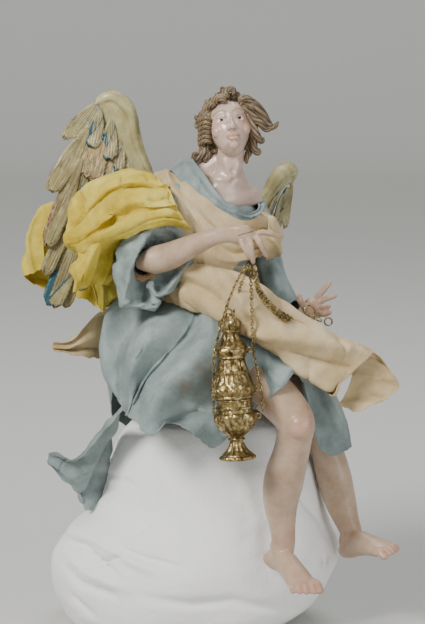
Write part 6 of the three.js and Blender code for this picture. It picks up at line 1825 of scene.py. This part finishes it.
bowl_trim = [lug(16.2, 29.5, turn) for turn in CHAIN_TURNS]
bowl_trim += [bead(12.9, 33.3, 44, 0.55), bead(5.6, 14, 20, 0.5)]
bowl = turned_piece("censer_bowl_chased", BOWL_OUTSIDE, BOWL_INSIDE, BOWL_WORK, 0, bowl_trim)
finish_piece(bowl, "gilt_metal", "censer_bowl")
LID_BEADS = ((13.6, 1.2, 48, 0.5), (11.3, 17.8, 40, 0.45), (10, 28.6, 36, 0.45), (6.1, 46.4, 24, 0.45))
lid_trim = [lug(r, z, turn) for turn in CHAIN_TURNS for r, z in ((15.6, 6), (12.4, 33))]
lid_trim += [bead(*row) for row in LID_BEADS] + [lug(0, 59.8, 0, 2)]
lid = turned_piece("censer_lid_chased", LID_OUTSIDE, LID_INSIDE, LID_WORK, LID_LIFT, lid_trim)
finish_piece(lid, "gilt_metal", "censer_lid")

# Chains.
# Gilt brass links, closed by hand. Three run from the hand to the bowl, through guides on the lid, and a
# spare length runs over the sash to the rings in the left hand.

LINK = {"pitch": 2.3, "long": 1.75, "wide": 1.05, "wire": 0.33}
HAND_HOLD = np.array((25, -97, 276.5))


def on_censer(radius, turn, height):
    a = math.radians(turn)
    return np.array(hung @ Vector((radius * math.cos(a) * MM, radius * math.sin(a) * MM, height * MM))) / MM


# Threads links along a smooth line, each turned a quarter against the last.
def add_links(bm, route, size=1):
    pattern = bmesh.new()
    wide, wire, stretch = LINK["wide"] * size, LINK["wire"] * size, LINK["long"] / LINK["wide"]
    add_ring(pattern, Matrix.Identity(4), wide, wire, 10, 5, stretch)
    one = bpy.data.meshes.new("link")
    line = spline(route, np.linspace(0, 1, 400))
    reach = np.concatenate([[0], np.cumsum(np.linalg.norm(np.diff(line, axis=0), axis=1))])
    count = max(round(reach[-1] / (LINK["pitch"] * size)), 2)
    for k in range(count):
        middle = (k + 0.5) / count * reach[-1]
        behind, spot, ahead = (np.array([np.interp(middle + step, reach, row) for row in line.T])
                               for step in (-1, 0, 1))
        turn = Vector(ahead - behind).to_track_quat("Y", "Z").to_matrix().to_4x4()
        place = move(spot) @ turn @ move((0, 0, 0), (45 + 90 * (k % 2), "Y"))
        pattern.to_mesh(one)
        one.transform(place)
        bm.from_mesh(one)
    pattern.free()
    bpy.data.meshes.remove(one)


def add_chain(name, routes, node, size=1):
    bm = bmesh.new()
    for route in routes:
        add_links(bm, route, size)
    bmesh.ops.recalc_face_normals(bm, faces=bm.faces)
    chain = new_object(name, bm, GILT_METAL)
    finish_piece(chain, "gilt_metal", node)
    return chain


STARTS = ((0.6, -0.4, 0), (-3, -1, 0), (-0.6, 3, 0))
for name, node, turn, shift in zip(("side_chain_links", "front_chain_links", "back_chain_links"),
                                   ("chain_side", "chain_front", "chain_back"), CHAIN_TURNS, STARTS):
    start = HAND_HOLD + shift
    high = on_censer(16, turn, 88)
    route = [
        start, (start + high) / 2, on_censer(15.4, turn, 76), on_censer(17, turn, 60),
        on_censer(19, turn, 48), on_censer(19.4, turn, 33),
    ]
    add_chain(name, [route], node)

SPARE_CHAIN = [(28.5, -96, 275), (31, -99, 261.5), (38, -98, 250.5), (46.5, -93, 242.5), (54, -84, 236.5)]
strands = []
for shift in ((0, 0, 0), (1.6, 0.6, 1.4), (-1.2, 0.8, -1.8)):
    strands.append([np.array(p) + np.array(shift) * (0.4 + 0.6 * k / 4) for k, p in enumerate(SPARE_CHAIN)])
add_chain("spare_chain_links", strands, "spare_chain")

RINGS = [
    ("carry_ring", (68.5, -40, 237.5), 3.9, [(20, "Z"), (70, "X")]),
    ("end_ring_1", (74.5, -45, 232.5), 2.7, [(30, "Y"), (20, "X")]),
    ("end_ring_2", (81.5, -45, 230.5), 2.7, [(20, "Y"), (80, "X")]),
]
for name, centre, radius, turns in RINGS:
    bm = bmesh.new()
    add_ring(bm, move(centre, *turns), radius, 0.6, 36, 10)
    bmesh.ops.recalc_face_normals(bm, faces=bm.faces)
    finish_piece(new_object(name + "_wire", bm, GILT_METAL), "gilt_metal", name)
